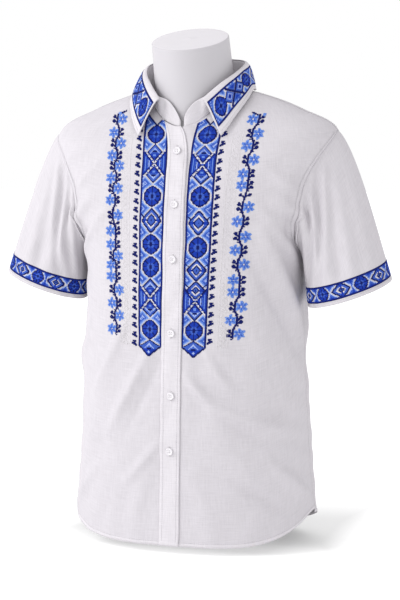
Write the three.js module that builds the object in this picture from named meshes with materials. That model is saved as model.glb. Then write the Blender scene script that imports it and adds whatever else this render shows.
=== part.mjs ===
// A man's short-sleeved folk shirt, buttoned on a limbless torso form that stands on its own flat foot.
// Millimetres. +Z is up, the front faces -Y and the wearer's left is +X. The origin is the middle of the foot.
//
// The shirt's body is one closed surface, worked out from a table of rings between hem and neck. Each
// panel is the part of that surface between its own seams, given a wall. An angle of 0 is the centre
// front, 90 degrees the wearer's left side and 180 degrees the centre back. A level is a place between
// rings: level 5 is the underarm, 8 the shoulder tip and 11 the neck seam.
import * as THREE from "three";

// A short table: one object for each row, with the columns' names.
const table = (columns, rows) => rows.map((row) => Object.fromEntries(columns.map((name, i) => [name, row[i]])));

// ---- Driving sizes ----
const CLOTH = 1.2; // wall of the linen
const GAP = 0.3; // between pieces at a seam
const LAYER = CLOTH + GAP; // from one layer of cloth to the next
const PLACKET_WIDTH = 33;
const PLACKET_TOP = 10.9; // the level at which it meets the collar band
const PLACKET_LAG = 0.7; // the stitched edge falls open less than the folded one
const STAND_OVERLAP = 13.5; // how far the buttoned-under edge lies past the centre front
const NECK_SPREAD = 18; // how far each front edge falls open at the neck seam
const SPREAD_FROM_LEVEL = 7.3; // the fronts lie closed below this level
const VENT_LEVEL = 0.3; // the side seams stop this far above the hem
const VENT_OPENING = 2.4; // the side vents stand this far open at the hem
const BACK_TAIL_DROP = 8; // the back hem hangs lower at the vents
const HEM_TAIL = 2.3; // how sharply the shirt-tail hem turns up at the sides
const YOKE_LEVEL = 7.2; // the yoke's back seam
const YOKE_FORWARD = 11; // the yoke's front seam lies this far in front of the neck's side
const BUTTON_RADIUS = 6;
const BUTTON_THICKNESS = 2.4;
const BUTTON_HEIGHTS = [638, 554, 468, 351, 252, 164]; // on the placket, from the neck down

// ---- The shirt's rings, from the hem up ----
// sideZ is the height at the side seam and half the half width there. front and frontZ are the depth and
// height at the centre front, back and backZ those at the centre back. square is 2 for an ellipse.
const RING_COLUMNS = ["sideZ", "half", "front", "frontZ", "back", "backZ", "square"];
const RINGS = table(RING_COLUMNS, [
  [59, 202, 138, 13, 126, 14, 2.3], // 0 hem
  [135, 194, 133, 130, 120, 130, 2.3],
  [250, 187, 128, 250, 114, 250, 2.3],
  [340, 183, 123, 340, 108, 340, 2.3],
  [415, 181, 118.5, 415, 108, 415, 2.35],
  [478, 184, 115, 478, 111, 478, 2.4], // 5 underarm
  [540, 203, 110, 535, 114, 545, 2.45],
  [610, 222, 101, 590, 112, 615, 2.4],
  [671, 235, 89, 634, 100, 667, 2.25], // 8 shoulder tip
  [705, 178, 82, 656, 86, 701, 2.1],
  [727, 118, 77, 669, 70, 729, 2],
  [738, 73, 73, 677, 56, 752, 2], // 11 neck seam
]);
const HEM = 0;
const UNDERARM = 5;
const SHOULDER_TIP = 8;
const NECK = RINGS.length - 1;

// How far the armhole cuts in from the side seam's line, in degrees, at what share of its height it is deepest,
// and how full its upper curve is: 1 is a parabola and less is fuller.
const ARMHOLE = { front: 17.5, back: 19, deepest: 0.3, fullness: 0.7 };

// ---- Folds of the body cloth ----
// Each fold is a soft ridge from one angle and height to another. Angles are degrees, depth is in mm.
const BODY_FOLDS = table(["fromAngle", "fromZ", "toAngle", "toZ", "width", "depth"], [
  [-38, 330, -72, 90, 17, 3.6],
  [-22, 255, -50, 60, 14, 2.6],
  [-62, 420, -84, 200, 16, 3.2],
  [-14, 150, -30, 20, 13, 2.2],
  [26, 240, 52, 120, 17, 2.4],
  [46, 400, 70, 250, 16, 2.6],
  [66, 200, 74, 50, 15, 3],
  [18, 120, 30, 15, 14, 2],
  [58, 500, 50, 400, 13, 2.4],
  [-58, 500, -50, 410, 13, 2.2],
  [118, 430, 132, 120, 19, 4],
  [150, 520, 158, 260, 18, 3],
  [172, 400, 168, 60, 19, 3.6],
  [196, 500, 204, 180, 18, 3.2],
  [226, 440, 218, 80, 18, 4],
  [246, 300, 238, 60, 16, 3],
  [104, 260, 108, 60, 15, 3],
]);
const MM_PER_DEGREE = 2.5; // along the cloth, near enough for placing folds
const FOLD_END = 0.12; // how full a ridge already is at its ends

// ---- The sleeves ----
// Both are given as for the wearer's left. The cuff is an ellipse: wide across the arm and deep from front to
// back. Its outer edge is higher than its inner edge by the rise, and its front edge hangs lower by the drop.
const CUFFS = {
  sleeve_left: { x: 262, y: -10, z: 414, halfWide: 68, halfDeep: 54, rise: 40, drop: 12 },
  sleeve_right: { x: 261, y: -10, z: 417, halfWide: 70, halfDeep: 53, rise: 46, drop: 4 },
};
const SLEEVE_STEPS = [0, 0.04, 0.12, 0.24, 0.38, 0.54, 0.7, 0.86, 1];
const SLEEVE_START_PULL = { tip: 105, side: 70, underarm: 34 }; // how far the cap keeps to the armhole's own direction
const SLEEVE_END_PULL = 150;
const ARM_LINE = new THREE.Vector3(0.3, 0.02, -0.95).normalize(); // the way the sleeves hang
const UNDERARM_OUTWARD = 0.9; // how far the underarm cloth is turned away from the body
const TIP_OUTWARD = 1.1; // and the sleeve head at the shoulder tip
// A fold lies at a place round the sleeve (0 underarm, 90 front, 180 top, 270 back) and between two shares of its length.
const SLEEVE_FOLDS = table(["around", "lean", "from", "to", "width", "depth"], [
  [76, 16, 0.1, 0.8, 11, 4.2],
  [108, -14, 0.12, 0.9, 12, 3.2],
  [142, -8, 0.25, 0.95, 13, 2.4],
  [226, 8, 0.2, 0.9, 13, 3],
  [262, 12, 0.12, 0.85, 12, 4],
  [296, -10, 0.2, 0.8, 11, 3],
]);
const SLEEVE_FOLD_RISE = 0.2; // the share of the sleeve's length over which a fold grows
const SLEEVE_FOLD_LEFT = 0.25; // how much of a fold is left at its lower end

// ---- The collar, given for the wearer's left from the centre back (0) to the front end (1) ----
// The fold is a point in space. The leaf's outer edge is an angle and level of the body, lifted off its cloth.
const COLLAR = table(["along", "foldX", "foldY", "foldZ", "edgeAngle", "edgeLevel", "edgeLift"], [
  [0, 0, 61, 791, 180, 10.3, 7],
  [0.25, 52, 47, 788, 133, 10.2, 7],
  [0.45, 80, 12, 781, 103, 10.4, 5],
  [0.62, 77, -22, 765, 79, 10.3, 5],
  [0.8, 58, -54, 744, 56, 9.75, 6],
  [1, 36, -76, 720, 41, 8.9, 7],
]);
const NECK_AXIS_Y = -8; // the collar goes round this line
const COLLAR_ROLL = { out: 9, up: 3 }; // the fold's roll stands out and up by this much

const BAND_CORNER = 22; // radius of the band's rounded front ends
const BAND_END_HEIGHT = 0.3; // the part of the band's height left at its very end
const BAND_FREE = { to: 20, blend: 20 }; // this near the middle the band stands free of the leaf
const BAND_FRONT_RISE = new THREE.Vector3(0, 0.5, 34); // its height there, and how far it leans forward
const COLLAR_STEPS = [0, 0.05, 0.13, 0.3, 0.55, 0.8, 1];

// ---- The torso form ----
// Rings below the shoulders, with the same columns as the shirt's.
const FORM_RINGS = table(RING_COLUMNS, [
  [0, 118, 70, 0, 68, 0, 2.2],
  [6, 124, 75, 6, 73, 6, 2.2],
  [70, 136, 85, 70, 82, 70, 2.2],
  [170, 145, 92, 170, 88, 170, 2.2],
  [290, 148, 95, 290, 91, 290, 2.2],
  [400, 154, 97, 400, 95.5, 400, 2.2],
  [480, 168, 99, 480, 100, 480, 2.25],
  [545, 184, 97, 540, 103, 550, 2.3],
]);
// Its shoulders follow the shirt's levels, below the cloth by the inset and drawn in at the arm by the trim.
const FORM_SHOULDERS = table(["level", "inset", "trim"], [
  [7, 9, 22],
  [7.5, 6.5, 20],
  [8, 4.5, 17],
  [8.33, 2.2, 8],
  [8.67, 1.4, 3],
  [9, 1.1, 0],
  [9.5, 1.1, 0],
  [10, 1.2, 0],
  [10.5, 1.6, 0],
  [11, 2, 0],
]);
const NECK_BASE = { sideZ: 740, half: 66, front: 66, frontZ: 684, back: 47, backZ: 753, square: 2 };
const NECK_SHARES = [0, 0.12, 0.3, 0.65, 1]; // rings of the neck, from its base to its cut top
const NECK_TOP = {
  centre: new THREE.Vector3(-3, -20, 823),
  half: 63,
  deep: 58,
  forwardTilt: 12, // degrees that the cut top faces forward
  sideTilt: 4.8, // and to the wearer's right
  edge: 2.5,
};
const FORM_SIDES = 36;

// ---- Colours ----
const finish = (color, roughness) => new THREE.MeshStandardMaterial({ color, roughness, metalness: 0 });
const LINEN = finish(0xf1eff2, 0.85);
const STAND_IN_BUTTON = finish(0xf4f3f4, 0.35);
const FORM_PAINT = finish(0xe2dfe3, 0.5);

// ---- Small helpers ----
const rad = THREE.MathUtils.degToRad;
const { lerp, clamp, smoothstep } = THREE.MathUtils;

// One column of a table at a place between its rows, on a smooth curve through them.
function column(rows, name, place) {
  const last = rows.length - 1;
  const i = clamp(Math.floor(place), 0, last - 1);
  const slope = (k) => (rows[Math.min(k + 1, last)][name] - rows[Math.max(k - 1, 0)][name])
    / (Math.min(k + 1, last) - Math.max(k - 1, 0));
  const t = place - i;
  const t2 = t * t;
  const t3 = t2 * t;
  return rows[i][name] * (2 * t3 - 3 * t2 + 1) + slope(i) * (t3 - 2 * t2 + t)
    + rows[i + 1][name] * (3 * t2 - 2 * t3) + slope(i + 1) * (t3 - t2);
}

// A table row at a place between rows.
function rowAt(rows, place) {
  return Object.fromEntries(Object.keys(rows[0]).map((name) => [name, column(rows, name, place)]));
}

// Where a ring passes at an angle: its plan is a superellipse, and its height follows the square of the depth.
// A tail above 1 keeps the ends low for longer and turns up more sharply at the sides, as a shirt-tail hem does.
function onRing(ring, angle, sideDrop = 0, tail = 1) {
  const sin = Math.sin(angle);
  const cos = Math.cos(angle);
  const toFront = cos > 0;
  const deep = toFront ? ring.front : ring.back;
  const reach = (Math.abs(sin / ring.half) ** ring.square + Math.abs(cos / deep) ** ring.square) ** (-1 / ring.square);
  const x = reach * sin;
  const y = -reach * cos;
  const sideZ = ring.sideZ - (toFront ? 0 : sideDrop);
  const endZ = toFront ? ring.frontZ : ring.backZ;
  const nearSide = Math.max(0, 1 - (y / deep) ** 2) ** tail;
  return new THREE.Vector3(x, y, lerp(endZ, sideZ, nearSide));
}

function smoothBody(angle, level) {
  const nearHem = Math.max(0, 1 - level);
  return onRing(rowAt(RINGS, level), angle, BACK_TAIL_DROP * nearHem, lerp(1, HEM_TAIL, nearHem));
}

function bodyNormal(angle, level) {
  const step = 0.02;
  const low = Math.max(HEM, level - step);
  const high = Math.min(NECK, level + step);
  const around = smoothBody(angle + step, level).sub(smoothBody(angle - step, level));
  const up = smoothBody(angle, high).sub(smoothBody(angle, low));
  return around.cross(up).normalize();
}

// How far the cloth stands out of its smooth surface: the sum of the folds' soft ridges.
function bodyFold(angle, z) {
  const turn = THREE.MathUtils.euclideanModulo(THREE.MathUtils.radToDeg(angle) + 90, 360) - 90;
  let out = 0;
  for (const { fromAngle, fromZ, toAngle, toZ, width, depth } of BODY_FOLDS) {
    const along = new THREE.Vector2((toAngle - fromAngle) * MM_PER_DEGREE, toZ - fromZ);
    const here = new THREE.Vector2((turn - fromAngle) * MM_PER_DEGREE, z - fromZ);
    const share = clamp(here.dot(along) / along.lengthSq(), 0, 1);
    const away = here.addScaledVector(along, -share).length();
    out += depth * Math.exp(-((away / width) ** 2)) * Math.sin(Math.PI * lerp(FOLD_END, 1 - FOLD_END, share));
  }
  return out;
}

// A point of the cloth, lifted off its inner face.
function bodyPoint(angle, level, lift = 0) {
  const p = smoothBody(angle, level);
  return p.addScaledVector(bodyNormal(angle, level), bodyFold(angle, p.z) + lift);
}

// The angle at which a ring passes a distance to the side of the centre front.
function angleAtX(x, level) {
  let low = rad(-80);
  let high = rad(80);
  for (let i = 0; i < 40; i++) {
    const middle = (low + high) / 2;
    if (smoothBody(middle, level).x < x) low = middle;
    else high = middle;
  }
  return (low + high) / 2;
}

// How far each front edge has fallen open at a level.
const spread = (level) => NECK_SPREAD * clamp((level - SPREAD_FROM_LEVEL) / (NECK - SPREAD_FROM_LEVEL), 0, 1) ** 1.6;

// The armhole's angle at a level on the wearer's left: a round foot, then a slow rise to the shoulder tip.
function armhole(level, part) {
  const t = clamp((level - UNDERARM) / (SHOULDER_TIP - UNDERARM), 0, 1);
  const bite = t < ARMHOLE.deepest
    ? Math.sqrt(Math.max(0, 1 - (1 - t / ARMHOLE.deepest) ** 2))
    : Math.max(0, 1 - ((t - ARMHOLE.deepest) / (1 - ARMHOLE.deepest)) ** 2) ** ARMHOLE.fullness;
  return part === "front" ? rad(90 - ARMHOLE.front * bite) : rad(90 + ARMHOLE.back * bite);
}

// The yoke's front seam, which leaves the shoulder tip and runs a little in front of the shoulder's ridge.
function yokeFrontSeam(level) {
  const share = clamp((level - SHOULDER_TIP) / (NECK - SHOULDER_TIP), 0, 1);
  const ring = rowAt(RINGS, level);
  return rad(90) - Math.atan2(YOKE_FORWARD * share, ring.half);
}

// ---- Solids ----
function solid(name, material, points, faces) {
  const geometry = new THREE.BufferGeometry();
  geometry.setAttribute("position", new THREE.Float32BufferAttribute(points.flatMap((p) => [p.x, p.y, p.z]), 3));
  geometry.setIndex(faces);
  geometry.computeVertexNormals();
  const mesh = new THREE.Mesh(geometry, material);
  mesh.name = name;
  return mesh;
}

// A wall between an inner and an outer grid of points, closed at its edges. A tube's rows close on themselves.
// Its fours of points are split along one diagonal, or along the other where the cloth slants that way.
function wall(name, inner, outer, { tube = false, flip = false, otherDiagonal = false } = {}) {
  const rows = inner.length;
  const cols = inner[0].length;
  const points = [...inner.flat(), ...outer.flat()];
  const at = (side, i, j) => side * rows * cols + i * cols + (j % cols);
  const faces = [];
  const split = (a, b, c, d) => faces.push(...(flip ? [a, c, b, a, d, c] : [a, b, c, a, c, d]));
  const quad = (a, b, c, d) => (otherDiagonal ? split(b, c, d, a) : split(a, b, c, d));
  const spans = tube ? cols : cols - 1;
  for (let i = 0; i < rows - 1; i++)
    for (let j = 0; j < spans; j++) {
      quad(at(1, i, j), at(1, i, j + 1), at(1, i + 1, j + 1), at(1, i + 1, j));
      quad(at(0, i, j), at(0, i + 1, j), at(0, i + 1, j + 1), at(0, i, j + 1));
    }
  for (let j = 0; j < spans; j++) {
    quad(at(0, 0, j), at(0, 0, j + 1), at(1, 0, j + 1), at(1, 0, j));
    quad(at(1, rows - 1, j), at(1, rows - 1, j + 1), at(0, rows - 1, j + 1), at(0, rows - 1, j));
  }
  if (!tube)
    for (let i = 0; i < rows - 1; i++) {
      quad(at(0, i, 0), at(1, i, 0), at(1, i + 1, 0), at(0, i + 1, 0));
      quad(at(0, i, cols - 1), at(0, i + 1, cols - 1), at(1, i + 1, cols - 1), at(1, i, cols - 1));
    }
  return solid(name, LINEN, points, faces);
}

// A panel of the body between a first and a last angle at each level, lifted off the surface by whole layers.
// The columns stand at even angles between the side seams' lines, and only the outer ones bend round the armhole.
function panel(name, levels, cols, firstAngle, lastAngle, { layer = 0, otherDiagonal = false } = {}) {
  const straight = levels.map((level) => [firstAngle(Math.min(level, UNDERARM)), lastAngle(Math.min(level, UNDERARM))]);
  const grid = (lift) => levels.map((level, i) => Array.from({ length: cols + 1 }, (_, j) => {
    const share = j / cols;
    const [first, last] = straight[i];
    const bend = (firstAngle(level) - first) * (1 - share) ** 3 + (lastAngle(level) - last) * share ** 3;
    return bodyPoint(lerp(first, last, share) + bend, level, lift);
  }));
  return wall(name, grid(layer * LAYER), grid(layer * LAYER + CLOTH), { otherDiagonal });
}

// Rows of the panels. The armhole's rows are shared with the sleeves, so that their edges meet point to point.
const BODY_LEVELS = [0, 0.3, 0.65, 1, 1.5, 2, 2.5, 3, 3.5, 4, 4.5];
const ARMHOLE_LEVELS = [5, 5.07, 5.22, 5.45, 5.75, 6.1, 6.45, 6.8, 7.2, 7.5, 7.75, 8];
const TOP_LEVELS = [8.5, 9, 9.5, 10, 10.5, 11];

// Half a seam's gap, as an angle on a ring, and the wider gap of the open vent.
function sideEdge(level) {
  const ring = rowAt(RINGS, level);
  const open = VENT_OPENING * Math.max(0, 1 - level / VENT_LEVEL);
  return (GAP + open) / 2 / ring.half;
}

function fronts() {
  const levels = [...BODY_LEVELS, ...ARMHOLE_LEVELS, ...TOP_LEVELS];
  const outerEdge = (level) => {
    if (level <= UNDERARM) return rad(90) - sideEdge(level);
    if (level < SHOULDER_TIP) return armhole(level, "front") - sideEdge(level);
    return yokeFrontSeam(level) - sideEdge(level);
  };
  const underEdge = (level) => angleAtX(-STAND_OVERLAP + spread(level), level);
  const overEdge = (level) => angleAtX(-STAND_OVERLAP - GAP - spread(level), level);
  return [
    panel("front_left", levels, 14, underEdge, outerEdge, { otherDiagonal: true }),
    panel("front_right", levels, 12, (level) => -outerEdge(level), overEdge),
  ];
}

function placket() {
  const levels = [...BODY_LEVELS, ...ARMHOLE_LEVELS, ...TOP_LEVELS.slice(0, -1), PLACKET_TOP];
  const stitched = (level) => angleAtX(-PLACKET_WIDTH / 2 - PLACKET_LAG * spread(level), level);
  const folded = (level) => angleAtX(PLACKET_WIDTH / 2 - spread(level), level);
  return panel("front_placket", levels, 3, stitched, folded, { layer: 1 });
}

function back() {
  const levels = [...BODY_LEVELS, ...ARMHOLE_LEVELS.filter((level) => level < YOKE_LEVEL), YOKE_LEVEL - 0.004];
  const edge = (level) => (level <= UNDERARM ? rad(90) : armhole(level, "back")) + sideEdge(level);
  return panel("back", levels, 22, edge, (level) => rad(360) - edge(level));
}

function yoke() {
  const levels = [YOKE_LEVEL + 0.004, ...ARMHOLE_LEVELS.filter((level) => level > YOKE_LEVEL), ...TOP_LEVELS];
  const edge = (level) => (level < SHOULDER_TIP ? armhole(level, "back") : yokeFrontSeam(level)) + sideEdge(level);
  return panel("yoke", levels, 24, edge, (level) => rad(360) - edge(level));
}

// ---- Sleeves ----
// The armhole's edge as a closed loop: up the front from the underarm to the shoulder tip, then down the back.
function armholeLoop() {
  const up = ARMHOLE_LEVELS.map((level) => ({ level, part: "front" }));
  const down = ARMHOLE_LEVELS.slice(1, -1).reverse().map((level) => ({ level, part: "back" }));
  return [...up, ...down].map(({ level, part }) => {
    const angle = armhole(level, part);
    return { point: bodyPoint(angle, level), normal: bodyNormal(angle, level) };
  });
}

function cuffPoint(cuff, turn) {
  const across = -Math.cos(turn); // -1 at the underarm, 1 on top
  const forward = Math.sin(turn);
  const flat = Math.sqrt(cuff.halfWide ** 2 - (cuff.rise / 2) ** 2);
  return new THREE.Vector3(
    cuff.x + flat * across,
    cuff.y - cuff.halfDeep * forward,
    cuff.z + (cuff.rise / 2) * across - cuff.drop * forward,
  );
}

// The sleeve's inner face as a grid: from each point of the armhole a smooth curve runs to the cuff, leaving
// along the body cloth's own direction and arriving along the arm.
function sleeveCurves(cuff) {
  const loop = armholeLoop();
  const count = loop.length;
  const lengths = loop.map(({ point }, k) => point.distanceTo(loop[(k + count - 1) % count].point));
  const half = ARMHOLE_LEVELS.length - 1;
  const sum = (list) => list.reduce((a, b) => a + b, 0);
  const turns = loop.map((_, k) => k <= half
    ? Math.PI * sum(lengths.slice(1, k + 1)) / sum(lengths.slice(1, half + 1))
    : Math.PI + Math.PI * sum(lengths.slice(half + 1, k + 1)) / (sum(lengths.slice(half + 1)) + lengths[0]));
  return loop.map(({ point, normal }, k) => {
    const along = loop[(k + 1) % count].point.clone().sub(loop[(k + count - 1) % count].point).normalize();
    const away = along.clone().cross(normal).normalize();
    const height = (1 - Math.cos(turns[k])) / 2; // 0 at the underarm, 1 at the tip
    const sides = Math.sin(turns[k]) ** 2;
    const pull = lerp(lerp(SLEEVE_START_PULL.underarm, SLEEVE_START_PULL.tip, height), SLEEVE_START_PULL.side, sides * 0.7);
    away.x += UNDERARM_OUTWARD * (1 - height) ** 3 + TIP_OUTWARD * height ** 4;
    const start = point.clone().addScaledVector(away, GAP);
    return { start, away: away.normalize().multiplyScalar(pull), end: cuffPoint(cuff, turns[k]), normal, turn: turns[k] };
  });
}

function hermite(a, ta, b, tb, t) {
  const t2 = t * t;
  const t3 = t2 * t;
  return a.clone().multiplyScalar(2 * t3 - 3 * t2 + 1)
    .addScaledVector(ta, t3 - 2 * t2 + t)
    .addScaledVector(b, 3 * t2 - 2 * t3)
    .addScaledVector(tb, t3 - t2);
}

function sleeveFold(turn, share) {
  const degrees = THREE.MathUtils.radToDeg(turn);
  let out = 0;
  for (const { around, lean, from, to, width, depth } of SLEEVE_FOLDS) {
    const centre = around + lean * (share - 0.5);
    const grown = smoothstep(share, from, from + SLEEVE_FOLD_RISE);
    const fade = grown * lerp(1, SLEEVE_FOLD_LEFT, smoothstep(share, to - SLEEVE_FOLD_RISE, to));
    out += depth * Math.exp(-(((degrees - centre) / width) ** 2)) * fade;
  }
  return out;
}

function sleeve(name, side) {
  const curves = sleeveCurves(CUFFS[name]);
  const count = curves.length;
  const endPull = ARM_LINE.clone().multiplyScalar(SLEEVE_END_PULL);
  const base = SLEEVE_STEPS.map((t) => curves.map((c) => {
    const reach = lerp(0.45, 1, (1 - Math.cos(c.turn)) / 2);
    return hermite(c.start, c.away, c.end, endPull.clone().multiplyScalar(reach), t);
  }));
  const grids = [0, CLOTH].map((lift) => base.map((row, i) => row.map((p, k) => {
    const around = row[(k + 1) % count].clone().sub(row[(k + count - 1) % count]);
    const down = base[Math.min(i + 1, base.length - 1)][k].clone().sub(base[Math.max(i - 1, 0)][k]);
    const own = down.cross(around).normalize();
    const blend = smoothstep(SLEEVE_STEPS[i], 0, 0.1);
    const out = curves[k].normal.clone().lerp(own, blend).normalize();
    const moved = p.clone().addScaledVector(out, lift + sleeveFold(curves[k].turn, SLEEVE_STEPS[i]));
    moved.x *= side;
    return moved;
  })));
  return wall(name, grids[0], grids[1], { tube: true, flip: side > 0 });
}

// ---- Collar ----
// The band's lower edge follows the neck seam round the back, from one front end to the other.
function bandPlace(share) {
  const leftEnd = angleAtX(-STAND_OVERLAP + NECK_SPREAD, NECK);
  const rightEnd = rad(360) + angleAtX(PLACKET_WIDTH / 2 - NECK_SPREAD, NECK);
  return lerp(leftEnd, rightEnd, share);
}

const fromNeckAxis = (p) => new THREE.Vector3(p.x, p.y - NECK_AXIS_Y, 0).normalize();

function collarRow(along) {
  const place = Math.abs(along);
  const next = Math.max(1, COLLAR.findIndex((row) => row.along >= place));
  const from = COLLAR[next - 1].along;
  const row = rowAt(COLLAR, next - 1 + (place - from) / (COLLAR[next].along - from));
  const side = Math.sign(along) || 1;
  return {
    fold: new THREE.Vector3(side * row.foldX, row.foldY, row.foldZ),
    edge: bodyPoint(side * rad(row.edgeAngle), row.edgeLevel, row.edgeLift),
  };
}

// The fold line's point nearest in plan direction to a point of the neck seam.
function foldAbove(seam) {
  const wanted = Math.atan2(Math.abs(seam.x), NECK_AXIS_Y - seam.y);
  let low = 0;
  let high = 1;
  for (let i = 0; i < 30; i++) {
    const middle = (low + high) / 2;
    const { fold } = collarRow(middle);
    if (Math.atan2(fold.x, NECK_AXIS_Y - fold.y) > wanted) low = middle;
    else high = middle;
  }
  const { fold } = collarRow(high);
  return new THREE.Vector3(Math.sign(seam.x) * fold.x, fold.y, fold.z);
}

function collarBand() {
  const cols = 40;
  const heights = [0, 0.35, 0.7, 1];
  const seams = Array.from({ length: cols + 1 }, (_, j) => bodyPoint(bandPlace(j / cols), NECK));
  const total = seams.reduce((sum, p, j) => (j ? sum + p.distanceTo(seams[j - 1]) : 0), 0);
  let walked = 0;
  const columns = seams.map((seam, j) => {
    walked += j ? seam.distanceTo(seams[j - 1]) : 0;
    const angle = bandPlace(j / cols);
    const upCloth = smoothBody(angle, NECK).sub(smoothBody(angle, NECK - 0.02)).normalize();
    const corner = clamp(1 - Math.min(walked, total - walked) / BAND_CORNER, 0, 1);
    const underFold = foldAbove(seam).add(new THREE.Vector3(0, 0, -2 * LAYER));
    const open = seam.clone().add(BAND_FRONT_RISE);
    return {
      foot: seam.clone().addScaledVector(upCloth, GAP),
      footOut: bodyNormal(angle, NECK),
      top: underFold.lerp(open, 1 - smoothstep(Math.abs(seam.x), BAND_FREE.to, BAND_FREE.to + BAND_FREE.blend)),
      rounded: lerp(BAND_END_HEIGHT, 1, Math.sqrt(1 - corner ** 2)),
    };
  });
  const grid = (lift) => heights.map((share) => columns.map(({ foot, footOut, top, rounded }) => {
    const p = foot.clone().lerp(top, share * rounded);
    return p.addScaledVector(share ? fromNeckAxis(p) : footOut, lift);
  }));
  return wall("collar_band", grid(0), grid(CLOTH));
}

function collarLeaf() {
  const cols = 36;
  const alongs = Array.from({ length: cols + 1 }, (_, j) => 1 - (2 * j) / cols);
  const base = COLLAR_STEPS.map((share) => alongs.map((along) => {
    const { fold, edge } = collarRow(along);
    const roll = fold.clone().addScaledVector(fromNeckAxis(fold), COLLAR_ROLL.out);
    roll.z += COLLAR_ROLL.up;
    return new THREE.QuadraticBezierCurve3(fold, roll, edge).getPoint(share);
  }));
  const grid = (lift) => base.map((row, i) => row.map((p, j) => {
    const along = row[Math.min(j + 1, cols)].clone().sub(row[Math.max(j - 1, 0)]);
    const down = base[Math.min(i + 1, base.length - 1)][j].clone().sub(base[Math.max(i - 1, 0)][j]);
    const out = along.cross(down).normalize();
    return p.clone().addScaledVector(out, lift);
  }));
  return wall("collar", grid(0), grid(CLOTH));
}

// ---- Buttons ----
function levelAtHeight(z) {
  let low = HEM;
  let high = NECK;
  for (let i = 0; i < 40; i++) {
    const middle = (low + high) / 2;
    if (smoothBody(0, middle).z < z) low = middle;
    else high = middle;
  }
  return (low + high) / 2;
}

// A flat button with a raised rim, turned about its own axis and set on the placket's outer face.
function buttons() {
  const r = BUTTON_RADIUS;
  const h = BUTTON_THICKNESS;
  const profile = [[0, 0], [0.8 * r, 0], [r, 0.4 * h], [0.95 * r, 0.9 * h], [0.8 * r, h], [0.66 * r, 0.7 * h], [0, 0.7 * h]];
  return BUTTON_HEIGHTS.map((z, i) => {
    const level = levelAtHeight(z);
    const angle = angleAtX(-spread(level), level);
    const lathe = new THREE.LatheGeometry(profile.map(([x, y]) => new THREE.Vector2(x, y)), 14);
    const mesh = new THREE.Mesh(lathe, STAND_IN_BUTTON);
    mesh.name = `button_${i + 1}`;
    mesh.quaternion.setFromUnitVectors(new THREE.Vector3(0, 1, 0), bodyNormal(angle, level));
    mesh.position.copy(bodyPoint(angle, level, 2 * LAYER + GAP));
    return mesh;
  });
}

// ---- The torso form ----
const sideAngle = (j) => (2 * Math.PI * j) / FORM_SIDES;

function formRing(ring) {
  return Array.from({ length: FORM_SIDES }, (_, j) => onRing(ring, sideAngle(j)));
}

function form() {
  const rings = [formRing(FORM_RINGS[0])];
  for (let place = 1; place <= FORM_RINGS.length - 1; place += 0.5) rings.push(formRing(rowAt(FORM_RINGS, place)));
  for (const { level, inset, trim } of FORM_SHOULDERS) {
    const ring = rowAt(RINGS, level);
    ring.half -= trim;
    rings.push(formRing(ring).map((p, j) => p.addScaledVector(bodyNormal(sideAngle(j), level), -inset)));
  }
  const base = formRing(NECK_BASE);
  const top = base.map((_, j) => {
    const x = NECK_TOP.half * Math.sin(sideAngle(j));
    const y = -NECK_TOP.deep * Math.cos(sideAngle(j));
    const z = y * Math.tan(rad(NECK_TOP.forwardTilt)) + x * Math.tan(rad(NECK_TOP.sideTilt));
    return new THREE.Vector3(x, y, z).add(NECK_TOP.centre);
  });
  for (const share of NECK_SHARES) rings.push(base.map((p, j) => p.clone().lerp(top[j], share)));
  const crownRise = new THREE.Vector3(0, 0, NECK_TOP.edge / 2);
  rings.push(top.map((p) => p.clone().lerp(NECK_TOP.centre, NECK_TOP.edge / NECK_TOP.half).add(crownRise)));
  const points = rings.flat();
  const faces = [];
  const at = (i, j) => i * FORM_SIDES + (j % FORM_SIDES);
  for (let i = 0; i < rings.length - 1; i++)
    for (let j = 0; j < FORM_SIDES; j++)
      faces.push(at(i, j), at(i, j + 1), at(i + 1, j + 1), at(i, j), at(i + 1, j + 1), at(i + 1, j));
  const foot = points.push(new THREE.Vector3(0, 0, 0)) - 1;
  const crown = points.push(NECK_TOP.centre.clone().add(crownRise)) - 1;
  for (let j = 0; j < FORM_SIDES; j++) {
    faces.push(foot, at(0, j + 1), at(0, j));
    faces.push(crown, at(rings.length - 1, j), at(rings.length - 1, j + 1));
  }
  return solid("torso_form", FORM_PAINT, points, faces);
}

const shirt = new THREE.Group();
shirt.add(form(), ...fronts(), placket(), back(), yoke());
shirt.add(sleeve("sleeve_left", 1), sleeve("sleeve_right", -1));
shirt.add(collarBand(), collarLeaf(), ...buttons());

export default shirt;
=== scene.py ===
"""A man's short-sleeved folk shirt with cross-stitched bands, buttoned on a limbless torso form.

Lengths are worked out in millimetres and put into the meshes in metres. +Z is up, the front faces -Y and the
wearer's left is +X. An angle of 0 is the centre front, 90 degrees the wearer's left side and 180 the centre
back. A level is a place between the body's rings: 0 the hem, 5 the underarm, 8 the shoulder tip, 11 the neck.
"""
import math

import bpy
import numpy as np
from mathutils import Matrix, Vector


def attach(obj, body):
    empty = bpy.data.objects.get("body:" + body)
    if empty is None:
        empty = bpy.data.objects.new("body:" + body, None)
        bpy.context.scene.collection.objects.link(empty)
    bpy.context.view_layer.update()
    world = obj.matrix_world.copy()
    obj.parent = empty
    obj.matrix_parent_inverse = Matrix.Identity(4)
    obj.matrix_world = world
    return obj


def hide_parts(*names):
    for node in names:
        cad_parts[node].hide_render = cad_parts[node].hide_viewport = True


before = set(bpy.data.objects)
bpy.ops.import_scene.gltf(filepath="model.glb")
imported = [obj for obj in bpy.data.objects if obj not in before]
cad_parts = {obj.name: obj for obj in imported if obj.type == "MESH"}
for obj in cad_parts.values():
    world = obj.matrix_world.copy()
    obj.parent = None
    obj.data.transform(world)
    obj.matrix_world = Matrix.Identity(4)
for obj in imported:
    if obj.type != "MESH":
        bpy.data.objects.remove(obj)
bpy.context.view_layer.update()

MM = 0.001
CLOTH = 1.2  # thickness of the linen
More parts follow.
